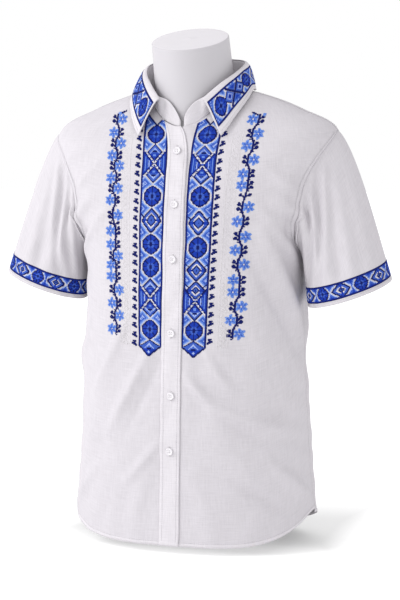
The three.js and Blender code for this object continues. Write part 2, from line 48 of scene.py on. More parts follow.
GAP = 0.3  # between layers that lie on each other
SEAM = 0.06  # what is left open between sewn edges
LAYER = CLOTH + GAP  # from one layer of cloth to the next

# ---- The shirt's sizes, the same as the solids' ----
RINGS = np.array([  # side z, half width, front depth, front z, back depth, back z, squareness
    [59, 202, 138, 13, 126, 14, 2.3],
    [135, 194, 133, 130, 120, 130, 2.3],
    [250, 187, 128, 250, 114, 250, 2.3],
    [340, 183, 123, 340, 108, 340, 2.3],
    [415, 181, 118.5, 415, 108, 415, 2.35],
    [478, 184, 115, 478, 111, 478, 2.4],
    [540, 203, 110, 535, 114, 545, 2.45],
    [610, 222, 101, 590, 112, 615, 2.4],
    [671, 235, 89, 634, 100, 667, 2.25],
    [705, 178, 82, 656, 86, 701, 2.1],
    [727, 118, 77, 669, 70, 729, 2],
    [738, 73, 73, 677, 56, 752, 2],
], float)
HALF = 1  # the half width's column
HEM, UNDERARM, TIP, NECK = 0, 5, 8, 11  # levels
PLACKET_WIDTH = 33
PLACKET_TOP = 10.9  # the level where the strip ends
PLACKET_LAG = 0.7  # share of the fronts' spread that the strip's hidden edge follows
STAND_OVERLAP = 13.5  # how far the buttoned-under edge lies past the centre front
NECK_SPREAD = 18  # how far each front edge falls open at the neck seam
SPREAD_FROM, SPREAD_CURVE = 7.3, 1.6  # the level where it begins, and how late it opens
VENT_LEVEL = 0.3  # the side seams stop this far above the hem
VENT_OPENING = 2.4  # the side vents stand this far open at the hem
BACK_TAIL_DROP = 8  # the back hem hangs lower at the vents
HEM_TAIL = 2.3  # how late the hem turns up towards the sides
YOKE_LEVEL = 7.2
YOKE_FORWARD = 11  # how far the shoulder seam lies in front of the shoulder's ridge at the neck
ARMHOLE_FRONT, ARMHOLE_BACK = 17.5, 19  # degrees that it bites into the front and the back
ARMHOLE_DEEPEST, ARMHOLE_FULLNESS = 0.3, 0.7  # share of its height where it is deepest, and how full above
BUTTON_HEIGHTS = [638, 554, 468, 351, 252, 164]
BUTTON_RADIUS = 6
BUTTON_THICKNESS = 2.4

MAIN_FOLDS = np.array([  # from angle, from z, to angle, to z, width, height
    [-38, 330, -72, 90, 17, 3.6],
    [-22, 255, -50, 60, 14, 2.6],
    [-62, 420, -84, 200, 16, 3.2],
    [-14, 150, -30, 20, 13, 2.2],
    [26, 240, 52, 120, 17, 2.4],
    [46, 400, 70, 250, 16, 2.6],
    [66, 200, 74, 50, 15, 3],
    [18, 120, 30, 15, 14, 2],
    [58, 500, 50, 400, 13, 2.4],
    [-58, 500, -50, 410, 13, 2.2],
    [118, 430, 132, 120, 19, 4],
    [150, 520, 158, 260, 18, 3],
    [172, 400, 168, 60, 19, 3.6],
    [196, 500, 204, 180, 18, 3.2],
    [226, 440, 218, 80, 18, 4],
    [246, 300, 238, 60, 16, 3],
    [104, 260, 108, 60, 15, 3],
])
SMALL_CREASES = np.array([  # the same columns; a height below 0 is a trough
    [57, 515, 86, 343, 10.8, 9.2],
    [48, 492, 78, 322, 9, -4.7],
    [66, 560, 86, 500, 8.1, 7.9],
    [56, 548, 80, 462, 7.2, 5.5],
    [60, 530, 84, 478, 6.3, -4.7],
    [60, 616, 68, 577, 5.4, 2.9],
    [66, 602, 74, 560, 5.4, 2.6],
    [34, 515, 58, 478, 7.2, 2.9],
    [12, 284, 29, 233, 9, 7.4],
    [29, 233, 65, 199, 9.9, 7.4],
    [14, 258, 60, 176, 9, -4.7],
    [22, 330, 40, 262, 8.1, 3.7],
    [57, 153, 84, 76, 9.9, 7.4],
    [40, 120, 66, 70, 9, -4.7],
    [-45, 183, -16, 329, 9.9, 7.9],
    [-36, 168, -10, 300, 9, -4.7],
    [-30, 113, -9, 175, 9, 6.8],
    [-56, 250, -34, 372, 9, 4.9],
    [-62, 562, -82, 500, 8.1, 7.4],
    [-50, 548, -76, 470, 7.2, 5.2],
    [-56, 528, -80, 484, 6.3, -4.5],
    [-60, 616, -70, 572, 5.4, 2.6],
    [-70, 330, -84, 260, 7.2, 4.3],
    [-52, 130, -70, 60, 9, 5.5],
    [110, 500, 130, 440, 8.1, 6.1],
    [250, 500, 232, 445, 8.1, 6.1],
    [104, 470, 124, 400, 7.2, -4.7],
    [256, 470, 236, 400, 7.2, -4.7],
    [140, 300, 156, 200, 9, 5.5],
    [216, 330, 204, 220, 9, 5.5],
    [176, 560, 184, 470, 8.1, 4.3],
    [160, 160, 190, 110, 9, 5.5],
    [96, 420, 102, 330, 7.2, 5.5],
    [264, 420, 258, 340, 7.2, 5.5],
    [70, 494, 69.5, 560, 5, -3.8],
    [69.5, 556, 74, 620, 5, -3.2],
    [-70, 494, -69.5, 560, 5, -3.4],
    [-69.5, 556, -74, 620, 5, -3.0],
    [112, 500, 112, 560, 5, -3.0],
    [112, 556, 106, 620, 5, -2.6],
    [248, 500, 248, 560, 5, -3.0],
    [248, 556, 254, 620, 5, -2.6],
])
MM_PER_DEGREE = 2.5  # how long a degree round the body counts where a fold's line is drawn
SLACK = 1.05  # how far the linen wavers in and out
FOLD_END = 0.12  # share of half a wave that is left out at each end of a ridge

CUFFS = {  # x, y, z, half wide, half deep, rise, drop
    "sleeve_left": (262, -10, 414, 68, 54, 40, 12),
    "sleeve_right": (261, -10, 417, 70, 53, 46, 4),
}
# How far a sleeve's curves keep their first direction, at three places of the armhole, and their last one.
PULL_TIP, PULL_SIDE, PULL_UNDERARM, PULL_END = 105, 70, 34, 150
ARM_LINE = np.array([0.3, 0.02, -0.95]) / np.linalg.norm([0.3, 0.02, -0.95])
UNDERARM_OUTWARD, TIP_OUTWARD = 0.9, 1.1  # how far the first direction is turned away from the body
SLEEVE_FOLDS = np.array([  # degrees round, lean, from share, to share, width, height
    [96, -95, 0.02, 0.62, 8, 5],
    [82, -95, 0.02, 0.6, 7, -3],
    [70, -85, 0.02, 0.7, 8, 4.6],
    [55, -75, 0.03, 0.7, 7, -2.6],
    [44, -60, 0.04, 0.7, 9, 4],
    [112, -60, 0.1, 0.9, 9, -2.2],
    [124, -45, 0.1, 0.95, 12, 3.6],
    [78, 10, 0.45, 1, 11, 3.4],
    [100, 6, 0.5, 1, 9, -1.8],
    [150, -20, 0.2, 0.95, 11, 2.8],
    [226, 24, 0.15, 0.9, 12, 3.4],
    [244, 50, 0.1, 0.7, 8, -2],
    [262, 60, 0.06, 0.8, 10, 4.6],
    [284, 70, 0.04, 0.7, 8, -2.4],
    [300, 70, 0.04, 0.75, 9, 4],
    [328, 40, 0.04, 0.6, 9, 3],
])
PUCKER_HIGH, PUCKER_SHARE, PUCKER_COUNT = 0.55, 0.045, 23  # the small gathers where the sleeve is sewn in
# The cloth that hangs over the seam: its height, its fullest place along and round the sleeve, its width.
OVERHANG, OVERHANG_SHARE, OVERHANG_AT, OVERHANG_WIDE = 7.5, 0.055, 52, 32
SLEEVE_FOLD_RISE = 0.2  # share of the sleeve over which a fold grows and fades
SLEEVE_FOLD_LEFT = 0.25  # share of a fold's height that is left past its end
SLEEVE_SHARES = np.linspace(0, 1, 73)  # the rows, from the armhole to the cuff

COLLAR_ALONG = np.array([0, 0.25, 0.45, 0.62, 0.8, 1])  # the rows' places, from the centre back to a front end
COLLAR = np.array([  # fold x, y, z, edge angle, level, lift
    [0, 61, 791, 180, 10.3, 7],
    [52, 47, 788, 133, 10.2, 7],
    [80, 12, 781, 103, 10.4, 5],
    [77, -22, 765, 79, 10.3, 5],
    [58, -54, 744, 56, 9.75, 6],
    [36, -76, 720, 41, 8.9, 7],
], float)
COLLAR_STEPS = np.linspace(0, 1, 33) ** 1.4  # from the leaf's fold to its outer edge, closer at the fold
NECK_AXIS_Y = -8
ROLL_OUT, ROLL_UP = 9, 3  # where the leaf's roll is drawn to, from its fold
BAND_CORNER = 7  # how far from its ends the band's top corners are rounded
BAND_END_HEIGHT = 0.78  # share of the height that is left at the very end
BAND_FREE, BAND_BLEND = 28, 12  # half the width in which the band is free of the leaf, and the change beside it
# How high the free ends rise at the middle and further back, and how far from the middle they reach that.
BAND_RISE_FRONT, BAND_RISE_BACK, BAND_RISE_LONG = 9, 35, 24
BAND_LEAN = 0.015  # how far back a free end leans for its height

FORM_RINGS = np.array([  # the same columns as the body's rings
    [0, 118, 70, 0, 68, 0, 2.2],
    [6, 124, 75, 6, 73, 6, 2.2],
    [70, 136, 85, 70, 82, 70, 2.2],
    [170, 145, 92, 170, 88, 170, 2.2],
    [290, 148, 95, 290, 91, 290, 2.2],
    [400, 154, 97, 400, 95.5, 400, 2.2],
    [480, 168, 99, 480, 100, 480, 2.25],
    [545, 184, 97, 540, 103, 550, 2.3],
], float)
FORM_SHOULDERS = np.array([  # level, how far under the cloth, how much narrower
    [7, 9, 22],
    [7.5, 6.5, 20],
    [8, 4.5, 17],
    [8.33, 2.2, 8],
    [8.67, 1.4, 3],
    [9, 1.1, 0],
    [9.5, 1.1, 0],
    [10, 1.2, 0],
    [10.5, 1.6, 0],
    [11, 2, 0],
])
NECK_BASE = np.array([740, 66, 66, 684, 47, 753, 2], float)
NECK_CENTRE = np.array([-3, -20, 819])
NECK_HALF, NECK_DEEP = 63, 58
NECK_FORWARD = 20.5  # degrees that the neck's cut leans forward
NECK_EDGE_IN, NECK_EDGE_DOWN = 2.5 / 60, 2.3  # the cut's rounded rim: share of the radius, and its height


# ---- Small helpers ----
def rad(degrees):
    """Degrees as radians."""
    return np.radians(degrees)


def smoothstep(x, low, high):
    """0 below low, 1 above high, and 3t^2 - 2t^3 between."""
    t = np.clip((np.asarray(x, float) - low) / (high - low), 0, 1)
    return t * t * (3 - 2 * t)


def unit(v):
    """A vector divided by its length."""
    return v / np.maximum(np.linalg.norm(v, axis=-1, keepdims=True), 1e-12)


def mix(a, b, t):
    """a where t is 0, b where t is 1, and the straight line between."""
    return a + (b - a) * t


def hermite(start, leave, end, arrive, t):
    """The cubic from start to end that leaves and arrives with two given slopes."""
    return (start * (2 * t**3 - 3 * t**2 + 1) + leave * (t**3 - 2 * t**2 + t)
            + end * (3 * t**2 - 2 * t**3) + arrive * (t**3 - t**2))


def between_rows(rows, place):
    """Every column at a place between the rows: cubics whose slopes are half their neighbours' step."""
    last = len(rows) - 1
    place = np.asarray(place, float)
    i = np.clip(np.floor(place), 0, last - 1).astype(int)
    slopes = np.gradient(rows, axis=0)
    return hermite(rows[i], slopes[i], rows[i + 1], slopes[i + 1], (place - i)[..., None])


def walked(points, axis):
    """The length walked from the first point to each, along an axis of an array of points."""
    steps = np.linalg.norm(np.diff(points, axis=axis), axis=-1)
    return np.insert(np.cumsum(steps, axis), 0, 0, axis)


def on_ring(ring, angle, side_drop=0.0, tail=1.0):
    """A ring's point: its plan is the superellipse |x / half|^n + |y / deep|^n = 1.

    Its height goes from the centre's to the side's as 1 - (y / deep)^2, to the power of tail.
    """
    side_z, half, front, front_z, back, back_z, square = np.moveaxis(ring, -1, 0)
    sin, cos = np.sin(angle), np.cos(angle)
    to_front = cos > 0
    deep = np.where(to_front, front, back)
    reach = (np.abs(sin / half) ** square + np.abs(cos / deep) ** square) ** (-1 / square)
    x, y = reach * sin, -reach * cos
    near_side = np.maximum(0, 1 - (y / deep) ** 2) ** tail
    end = np.where(to_front, front_z, back_z)
    side = side_z - np.where(to_front, 0, side_drop)
    return np.stack([x, y, mix(end, side, near_side)], -1)


def smooth_body(angle, level):
    """The body's surface without folds; below level 1 the hem's sides turn up and the back's hang lower."""
    angle, level = np.broadcast_arrays(np.asarray(angle, float), np.asarray(level, float))
    near_hem = np.maximum(0, 1 - level)
    return on_ring(between_rows(RINGS, level), angle, BACK_TAIL_DROP * near_hem, mix(1, HEM_TAIL, near_hem))


def body_normal(angle, level):
    """Across the surface's steps round and up, taken as small differences."""
    step = 0.02
    low, high = np.maximum(HEM, level - step), np.minimum(NECK, level + step)
    around = smooth_body(angle + step, level) - smooth_body(angle - step, level)
    up = smooth_body(angle, high) - smooth_body(angle, low)
    return unit(np.cross(around, up))


def ridges(table, angle, z):
    """The sum of soft ridges: height * exp(-(away / width)^2), times a sine along each ridge."""
    turn = np.mod(np.degrees(angle) + 90, 360) - 90
    out = np.zeros(np.broadcast(turn, z).shape)
    for a0, z0, a1, z1, width, depth in table:
        along = np.array([(a1 - a0) * MM_PER_DEGREE, z1 - z0])
        hx, hz = (turn - a0) * MM_PER_DEGREE, z - z0
        share = np.clip((hx * along[0] + hz * along[1]) / (along @ along), 0, 1)
        away = np.hypot(hx - along[0] * share, hz - along[1] * share)
        out += depth * np.exp(-((away / width) ** 2)) * np.sin(np.pi * mix(FOLD_END, 1 - FOLD_END, share))
    return out


def slack(angle, z):
    """Low, uneven waves: sines of the height and of the length round, each bent by a slower one."""
    x = np.degrees(angle) * MM_PER_DEGREE
    a = np.sin(x / 11 + z / 29 + 1.9 * np.sin(z / 47 + x / 90))
    b = np.sin(z / 13 - x / 31 + 2.2 * np.sin(x / 53 - z / 110))
    c = np.sin((x + z) / 19 + 1.7 * np.sin(z / 35))
    return SLACK * (a * b + 0.6 * c * np.sin(z / 61 + x / 73))


def body_point(angle, level, lift=0.0):
    """The cloth's surface with its folds and creases, lifted off its inner face."""
    p = smooth_body(angle, level)
    z = p[..., 2]
    fold = ridges(MAIN_FOLDS, angle, z) + ridges(SMALL_CREASES, angle, z) + slack(angle, z)
    return p + body_normal(angle, level) * (fold + lift)[..., None]


def angle_at_x(x, level):
    """The angle at which a level's ring passes x, found by halving."""
    x, level = np.broadcast_arrays(np.asarray(x, float), np.asarray(level, float))
    low, high = np.full(x.shape, rad(-80)), np.full(x.shape, rad(80))
    for _ in range(36):
        middle = (low + high) / 2
        short = smooth_body(middle, level)[..., 0] < x
        low, high = np.where(short, middle, low), np.where(short, high, middle)
    return (low + high) / 2


def spread(level):
    """How far a front edge has fallen open: a power of the share of the way up to the neck."""
    return NECK_SPREAD * np.clip((level - SPREAD_FROM) / (NECK - SPREAD_FROM), 0, 1) ** SPREAD_CURVE


def armhole(level, front):
    """The armhole's angle: a quarter of an ellipse at its foot, then a slow rise to the shoulder tip."""
    t = np.clip((np.asarray(level, float) - UNDERARM) / (TIP - UNDERARM), 0, 1)
    foot = np.sqrt(np.maximum(0, 1 - (1 - t / ARMHOLE_DEEPEST) ** 2))
    rise = np.maximum(0, 1 - ((t - ARMHOLE_DEEPEST) / (1 - ARMHOLE_DEEPEST)) ** 2) ** ARMHOLE_FULLNESS
    bite = np.where(t < ARMHOLE_DEEPEST, foot, rise)
    return rad(90 - ARMHOLE_FRONT * bite) if front else rad(90 + ARMHOLE_BACK * bite)


def yoke_front_seam(level):
    """The shoulder seam's angle: it runs forward of the shoulder's ridge, evenly from the tip to the neck."""
    share = np.clip((level - TIP) / (NECK - TIP), 0, 1)
    return rad(90) - np.arctan2(YOKE_FORWARD * share, between_rows(RINGS, level)[..., HALF])


def side_gap(level):
    """Half a seam's gap as an angle, and the wider gap of the open vent."""
    opened = VENT_OPENING * np.maximum(0, 1 - level / VENT_LEVEL)
    return (SEAM + opened) / 2 / between_rows(RINGS, level)[..., HALF]


# ---- Meshes ----
def put_mesh(name, points, faces, uv=None, material=None, smooth=True, kinds=None):
    """A mesh object at the origin from points in millimetres and faces of three or four points."""
    mesh = bpy.data.meshes.new(name)
    faces = faces if isinstance(faces, list) else faces.tolist()
    mesh.from_pydata((np.asarray(points) * MM).tolist(), [], faces)
    if uv is not None:
        loops = np.empty(len(mesh.loops), np.int32)
        mesh.loops.foreach_get("vertex_index", loops)
        layer = mesh.uv_layers.new(name="cloth")
        layer.data.foreach_set("uv", np.asarray(uv)[loops].ravel())
    for paint in material if isinstance(material, (list, tuple)) else [material]:
        mesh.materials.append(paint)
    if kinds is not None:
        mesh.polygons.foreach_set("material_index", np.asarray(kinds, np.int32))
    mesh.polygons.foreach_set("use_smooth", np.full(len(mesh.polygons), smooth))
    mesh.update()
    obj = bpy.data.objects.new(name, mesh)
    bpy.context.scene.collection.objects.link(obj)
    return obj


def grid_faces(rows, cols, first=0, tube=False, flip=False):
    """Quads between the points of a grid; a tube's rows close on themselves."""
    i, j = np.meshgrid(np.arange(rows - 1), np.arange(cols if tube else cols - 1), indexing="ij")
    k = (j + 1) % cols
    quads = np.stack([i * cols + j, i * cols + k, (i + 1) * cols + k, (i + 1) * cols + j], -1)
    quads = quads.reshape(-1, 4) + first
    return quads[:, ::-1] if flip else quads


def closed_rings(name, grid, foot, top, material, kinds=None):
    """A closed skin over rings of points, with a fan of triangles to a middle point at each end."""
    count, cols = grid.shape[0] * grid.shape[1], grid.shape[1]
    j = np.arange(cols)
    k = (j + 1) % cols
    faces = grid_faces(len(grid), cols, tube=True).tolist()
    faces += np.stack([np.full(cols, count), k, j], -1).tolist()
    faces += np.stack([np.full(cols, count + 1), count - cols + j, count - cols + k], -1).tolist()
    points = np.concatenate([grid.reshape(-1, 3), [foot], [top]])
    return put_mesh(name, points, faces, material=material, kinds=kinds)


def stand_for(obj, solid):
    """Puts a piece in its solid's place, on the one body."""
    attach(obj, "root")
    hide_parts(solid)


def cell_corners(grid):
    """The four corners of every cell of a grid, in turn round the cell."""
    return grid[:-1, :-1], grid[:-1, 1:], grid[1:, 1:], grid[1:, :-1]


def flat_places(grid):
    """UV in metres: how far a point lies along its row, from the middle, and up its column, on the cloth."""
    across, up = walked(grid, 1), walked(grid, 0)
    across = across - across[:, across.shape[1] // 2][:, None]
    return np.stack([across, up], -1).reshape(-1, 2) * MM


def cloth(solid, inner, outer,
          tube=False, flip=False, material=None, double_rows=0):
    """A closed wall of cloth between an inner and an outer grid; its first rows may be of double cloth."""
    rows, cols = inner.shape[:2]
    count = rows * cols
    faces = [grid_faces(rows, cols, count, tube, flip), grid_faces(rows, cols, 0, tube, not flip)]
    j = np.arange(cols if tube else cols - 1)
    k = (j + 1) % cols
    low = np.stack([j, k, count + k, count + j], -1)
    high = low + (rows - 1) * cols
    faces += [low[:, ::-1] if flip else low, high if flip else high[:, ::-1]]
    if not tube:
        i = np.arange(rows - 1) * cols
        left = np.stack([i, count + i, count + i + cols, i + cols], -1)
        right = left + cols - 1
        faces += [left[:, ::-1] if flip else left, right if flip else right[:, ::-1]]
    points = np.concatenate([inner.reshape(-1, 3), outer.reshape(-1, 3)])
    uv = flat_places(outer)
    kinds = None
    if double_rows:
        row = np.repeat(np.arange(rows - 1) < double_rows, cols if tube else cols - 1)
        rest = np.zeros(sum(len(f) for f in faces[2:]), bool)
        rest[:len(low)] = True
        kinds = np.concatenate([row, row, rest]).astype(int)
        material = [material, DOUBLE_LINEN]
    obj = put_mesh(
        solid + "_cloth", points, np.concatenate(faces), np.concatenate([uv, uv]), material, kinds=kinds)
    stand_for(obj, solid)
    return obj


# ---- Materials ----
def surface(name, colour, roughness, **sockets):
    """A plain material of one colour and roughness, with any other socket by its name, and its shader."""
    material = bpy.data.materials.new(name)
    material.use_nodes = True
    shader = material.node_tree.nodes["Principled BSDF"]
    shader.inputs["Base Color"].default_value = (*colour, 1)
    shader.inputs["Roughness"].default_value = roughness
    for socket, value in sockets.items():
        shader.inputs[socket.replace("_", " ")].default_value = value
    return material, shader


def node(material, kind, **values):
    """A shader node; a value goes to the input of its name, or else to the node's own setting."""
    made = material.node_tree.nodes.new(kind)
    for key, value in values.items():
        if key in made.inputs:
            made.inputs[key].default_value = value
        else:
            setattr(made, key, value)
    return made


SLUB_ACROSS, SLUB_ALONG = 620, 34  # how many noise cells to a metre across a thread and along it


def linen(name, colour):
    """Plain-woven linen: a noise drawn out along the warp plus one along the weft, as colour and as relief."""
    material, shader = surface(name, colour, 0.85, Specular_IOR_Level=0.25)
    link = material.node_tree.links.new
    place = node(material, "ShaderNodeUVMap", uv_map="cloth")
    threads = []
    for scale in ((SLUB_ACROSS, SLUB_ALONG, 1), (SLUB_ALONG, SLUB_ACROSS, 1)):
        stretch = node(material, "ShaderNodeMapping", Scale=scale)
        link(place.outputs["UV"], stretch.inputs["Vector"])
        slub = node(material, "ShaderNodeTexNoise", Scale=1.0, Detail=3.0, Roughness=0.6)
        link(stretch.outputs["Vector"], slub.inputs["Vector"])
        threads.append(slub)
    both = node(material, "ShaderNodeMath", operation="ADD")
    link(threads[0].outputs["Fac"], both.inputs[0])
    link(threads[1].outputs["Fac"], both.inputs[1])
    shade = node(material, "ShaderNodeMapRange")
    for key, value in (("From Min", 0.7), ("From Max", 1.3), ("To Min", 0.9), ("To Max", 1.05)):
        shade.inputs[key].default_value = value
    link(both.outputs[0], shade.inputs["Value"])
    tint = node(material, "ShaderNodeMix", data_type="RGBA", blend_type="MULTIPLY")
    tint.inputs["Factor"].default_value = 1
    tint.inputs[6].default_value = (*colour, 1)
    link(shade.outputs["Result"], tint.inputs[7])
    link(tint.outputs[2], shader.inputs["Base Color"])
    relief = node(material, "ShaderNodeBump", Strength=0.5, Distance=0.0007)
    link(both.outputs[0], relief.inputs["Height"])
    link(relief.outputs["Normal"], shader.inputs["Normal"])
    return material


LINEN = linen("linen", (0.493, 0.472, 0.502))
DOUBLE_LINEN = linen("double_linen", (0.552, 0.529, 0.56))
FORM_PAINT = surface("form_paint", (0.43, 0.415, 0.44), 0.5)[0]
# A lighter copy of the form's paint for the neck's cut top and its rounded rim: painted light where they face
# up to the lamps, and a painted highlight on the rim
LIT_NECK_TOP_PAINT = surface("form_top_painted_light", (0.55, 0.53, 0.56), 0.5)[0]
BUTTON = surface("button_resin", (0.62, 0.6, 0.63), 0.28)[0]

# ---- The body's panels ----
HEM_LEVEL, HEM_RAISE = 0.062, 0.5  # where the double hem ends, and how much thicker it is
BODY_LEVELS = np.sort(np.append(np.linspace(HEM, UNDERARM, 141), [HEM_LEVEL - 0.006, HEM_LEVEL + 0.006]))
FOOT_SPAN = (TIP - UNDERARM) * ARMHOLE_DEEPEST
FOOT_LEVELS = UNDERARM + FOOT_SPAN * (1 - np.cos(np.linspace(0, np.pi / 2, 19)))[1:]
RISE_LEVELS = np.linspace(UNDERARM + FOOT_SPAN, TIP, 39)[1:]
TOP_LEVELS = np.linspace(TIP, NECK, 33)[1:]
ALL_LEVELS = np.concatenate([BODY_LEVELS, FOOT_LEVELS, RISE_LEVELS, TOP_LEVELS])


def panel_angles(levels, cols, first, last):
    """Even angles between the side seams' lines, of which only the outer ones bend round the armhole."""
    straight = np.minimum(levels, UNDERARM)
    a, b = first(straight)[:, None], last(straight)[:, None]
    share = np.linspace(0, 1, cols + 1)[None, :]
    bend = (first(levels)[:, None] - a) * (1 - share) ** 3 + (last(levels)[:, None] - b) * share**3
    return mix(a, b, share) + bend


FELL_WIDE, FELL_RAISE, FELL_SLOPE = 6.5, 0.9, 1.5  # its width, its height, and half its edge's slope
HEM_SLOPE = 0.007


def fell(grid, first, last):
    """How much higher the cloth lies beside a felled seam: a smoothstep of the length from it."""
    step = walked(grid, 1)
    near_first = 1 - smoothstep(step, FELL_WIDE - FELL_SLOPE, FELL_WIDE + FELL_SLOPE)
    near_last = 1 - smoothstep(step[:, -1:] - step, FELL_WIDE - FELL_SLOPE, FELL_WIDE + FELL_SLOPE)
    return FELL_RAISE * np.maximum(near_first * first, near_last * last)


def panel(name, levels, cols, first, last, layer=0, material=None,
          felled=(0, 0), foot=0):
    """A panel between two edges given as angles of the level; felled edges and a felled foot are raised."""
    angles = panel_angles(levels, cols, first, last)
    rows = levels[:, None]
    raised = fell(body_point(angles, rows), *felled) * (1 - smoothstep(rows, TIP, TIP + 0.1) * (1 - foot))
    raised = raised * smoothstep(rows, UNDERARM - 0.15, UNDERARM)
    in_hem = 1 - smoothstep(rows, HEM_LEVEL - HEM_SLOPE, HEM_LEVEL + HEM_SLOPE)
    raised = np.maximum(raised, HEM_RAISE * in_hem)
    if foot:
        in_foot = 1 - smoothstep(rows, YOKE_LEVEL + 0.12, YOKE_LEVEL + 0.2)
        raised = np.maximum(raised, FELL_RAISE * in_foot)
    inner = body_point(angles, rows, layer * LAYER)
    outer = body_point(angles, rows, layer * LAYER + (CLOTH + raised))
    has_hem = layer == 0 and levels[0] == HEM
    double_rows = int((levels < HEM_LEVEL).sum()) - 1 if has_hem else 0
    return cloth(name, inner, outer, material=material or LINEN, double_rows=double_rows)


def front_outer_edge(level):
    """A front's outer edge: the side seam, then the armhole, then the shoulder seam."""
    level = np.asarray(level, float)
    above = np.where(level < TIP, armhole(level, True), yoke_front_seam(level))
    return np.where(level <= UNDERARM, rad(90), above) - side_gap(level)


def back_edge(level):
    """The back's edge: the side seam, then the armhole."""
    return np.where(level <= UNDERARM, rad(90), armhole(level, False)) + side_gap(level)


def yoke_edge(level):
    """The yoke's edge: the armhole, then the shoulder seam."""
    return np.where(level < TIP, armhole(level, False), yoke_front_seam(level)) + side_gap(level)


front_left = panel(
    "front_left", ALL_LEVELS, 76, lambda level: angle_at_x(-STAND_OVERLAP + spread(level), level),
    front_outer_edge, felled=(0, 1))
front_right = panel(
    "front_right", ALL_LEVELS, 70, lambda level: -front_outer_edge(level),
    lambda level: angle_at_x(-STAND_OVERLAP - GAP - spread(level), level), felled=(1, 0))
PLACKET_LEVELS = np.concatenate([ALL_LEVELS[ALL_LEVELS < PLACKET_TOP], [PLACKET_TOP]])
placket = panel(
    "front_placket", PLACKET_LEVELS, 14,
    lambda level: angle_at_x(-PLACKET_WIDTH / 2 - PLACKET_LAG * spread(level), level),
    lambda level: angle_at_x(PLACKET_WIDTH / 2 - spread(level), level),
    layer=1, material=DOUBLE_LINEN)
BACK_LEVELS = np.concatenate([ALL_LEVELS[ALL_LEVELS < YOKE_LEVEL - 0.02], [YOKE_LEVEL - 0.004]])
back = panel(
    "back", BACK_LEVELS, 124, back_edge, lambda level: rad(360) - back_edge(level), felled=(1, 1))
YOKE_LEVELS = np.concatenate([[YOKE_LEVEL + 0.004], ALL_LEVELS[ALL_LEVELS > YOKE_LEVEL + 0.02]])
yoke = panel(
    "yoke", YOKE_LEVELS, 132, yoke_edge, lambda level: rad(360) - yoke_edge(level),
    felled=(1, 1), foot=1)


# ---- The sleeves ----
def armhole_loop():
    """The armhole's edge: up the front from the underarm to the shoulder tip, then down the back."""
    rise = np.concatenate([[UNDERARM], FOOT_LEVELS, RISE_LEVELS])
    levels = np.concatenate([rise, rise[1:-1][::-1]])
    angles = np.concatenate([armhole(rise, True), armhole(rise[1:-1][::-1], False)])
    return body_point(angles, levels), body_normal(angles, levels), len(rise) - 1


def sleeve_fold(turn, share):
    """Bell curves round the sleeve that lean along it, with gathers and slack just below the armhole."""
    degrees = np.degrees(turn)
    out = np.zeros(np.broadcast(turn, share).shape)
    for around, lean, start, end, width, depth in SLEEVE_FOLDS:
        grown = smoothstep(share, start, start + SLEEVE_FOLD_RISE)
        fade = grown * mix(1, SLEEVE_FOLD_LEFT, smoothstep(share, end - SLEEVE_FOLD_RISE, end))
        out = out + depth * np.exp(-(((degrees - around - lean * (share - 0.5)) / width) ** 2)) * fade
    near = share / PUCKER_SHARE
    out = out + PUCKER_HIGH * np.sin(turn * PUCKER_COUNT) * near * np.exp(1 - near)
    over = share / OVERHANG_SHARE
    for middle in (OVERHANG_AT, 360 - OVERHANG_AT):
        out = out + OVERHANG * np.exp(-(((degrees - middle) / OVERHANG_WIDE) ** 2)) * over * np.exp(1 - over)
    return out


def sleeve_grid(cuff, shares):
    """Cubics from the armhole to the cuff's ellipse: first along the body's cloth, last along the arm."""
    x, y, z, half_wide, half_deep, rise, drop = cuff
    points, normals, half = armhole_loop()
    lengths = np.linalg.norm(points - np.roll(points, 1, 0), axis=-1)
    front = np.cumsum(lengths[1:half + 1]) / lengths[1:half + 1].sum()
    rear = np.cumsum(lengths[half + 1:]) / (lengths[half + 1:].sum() + lengths[0])
    turn = np.pi * np.concatenate([[0], front, 1 + rear])
    along = unit(np.roll(points, -1, 0) - np.roll(points, 1, 0))
    away = unit(np.cross(along, normals))
    height = (1 - np.cos(turn)) / 2
    pull = mix(mix(PULL_UNDERARM, PULL_TIP, height), PULL_SIDE, np.sin(turn) ** 2 * 0.7)
    away[:, 0] += UNDERARM_OUTWARD * (1 - height) ** 3 + TIP_OUTWARD * height**4
    start = points + away * SEAM
    away = unit(away) * pull[:, None]
    across, forward = -np.cos(turn), np.sin(turn)
    flat = math.sqrt(half_wide**2 - (rise / 2) ** 2)
    end = np.stack([x + flat * across, y - half_deep * forward, z + rise / 2 * across - drop * forward], -1)
    arrive = ARM_LINE * PULL_END * mix(0.45, 1, height)[:, None]
    t = np.asarray(shares)[:, None, None]
    base = hermite(start, away, end, arrive, t)
    around = np.roll(base, -1, 1) - np.roll(base, 1, 1)
    own = unit(np.cross(np.gradient(base, axis=0), around))
    out = unit(mix(normals, own, smoothstep(t, 0, 0.1)))
    return base, out, turn


def sleeve_surface(name, side, lift):
    """A sleeve with its folds, lifted off its inner face: on the wearer's left for side 1, the right for -1."""
    base, out, turn = sleeve_grid(CUFFS[name], SLEEVE_SHARES)
    fold = sleeve_fold(turn[None, :], SLEEVE_SHARES[:, None])
    return (base + out * (fold + lift)[..., None]) * [side, 1, 1]


def sleeve(name, side):
    """A tube of cloth from the armhole to the cuff, a little thicker at its turned hem."""
    base, _out, _turn = sleeve_grid(CUFFS[name], SLEEVE_SHARES)
    from_cuff = walked(base[::-1], 0)[::-1]
    hem = HEM_RAISE * (1 - smoothstep(from_cuff, 4.5, 7))
    inner, outer = sleeve_surface(name, side, 0), sleeve_surface(name, side, CLOTH + hem)
    return cloth(name, inner, outer, tube=True, flip=side > 0, material=LINEN)


sleeve_left = sleeve("sleeve_left", 1)
sleeve_right = sleeve("sleeve_right", -1)


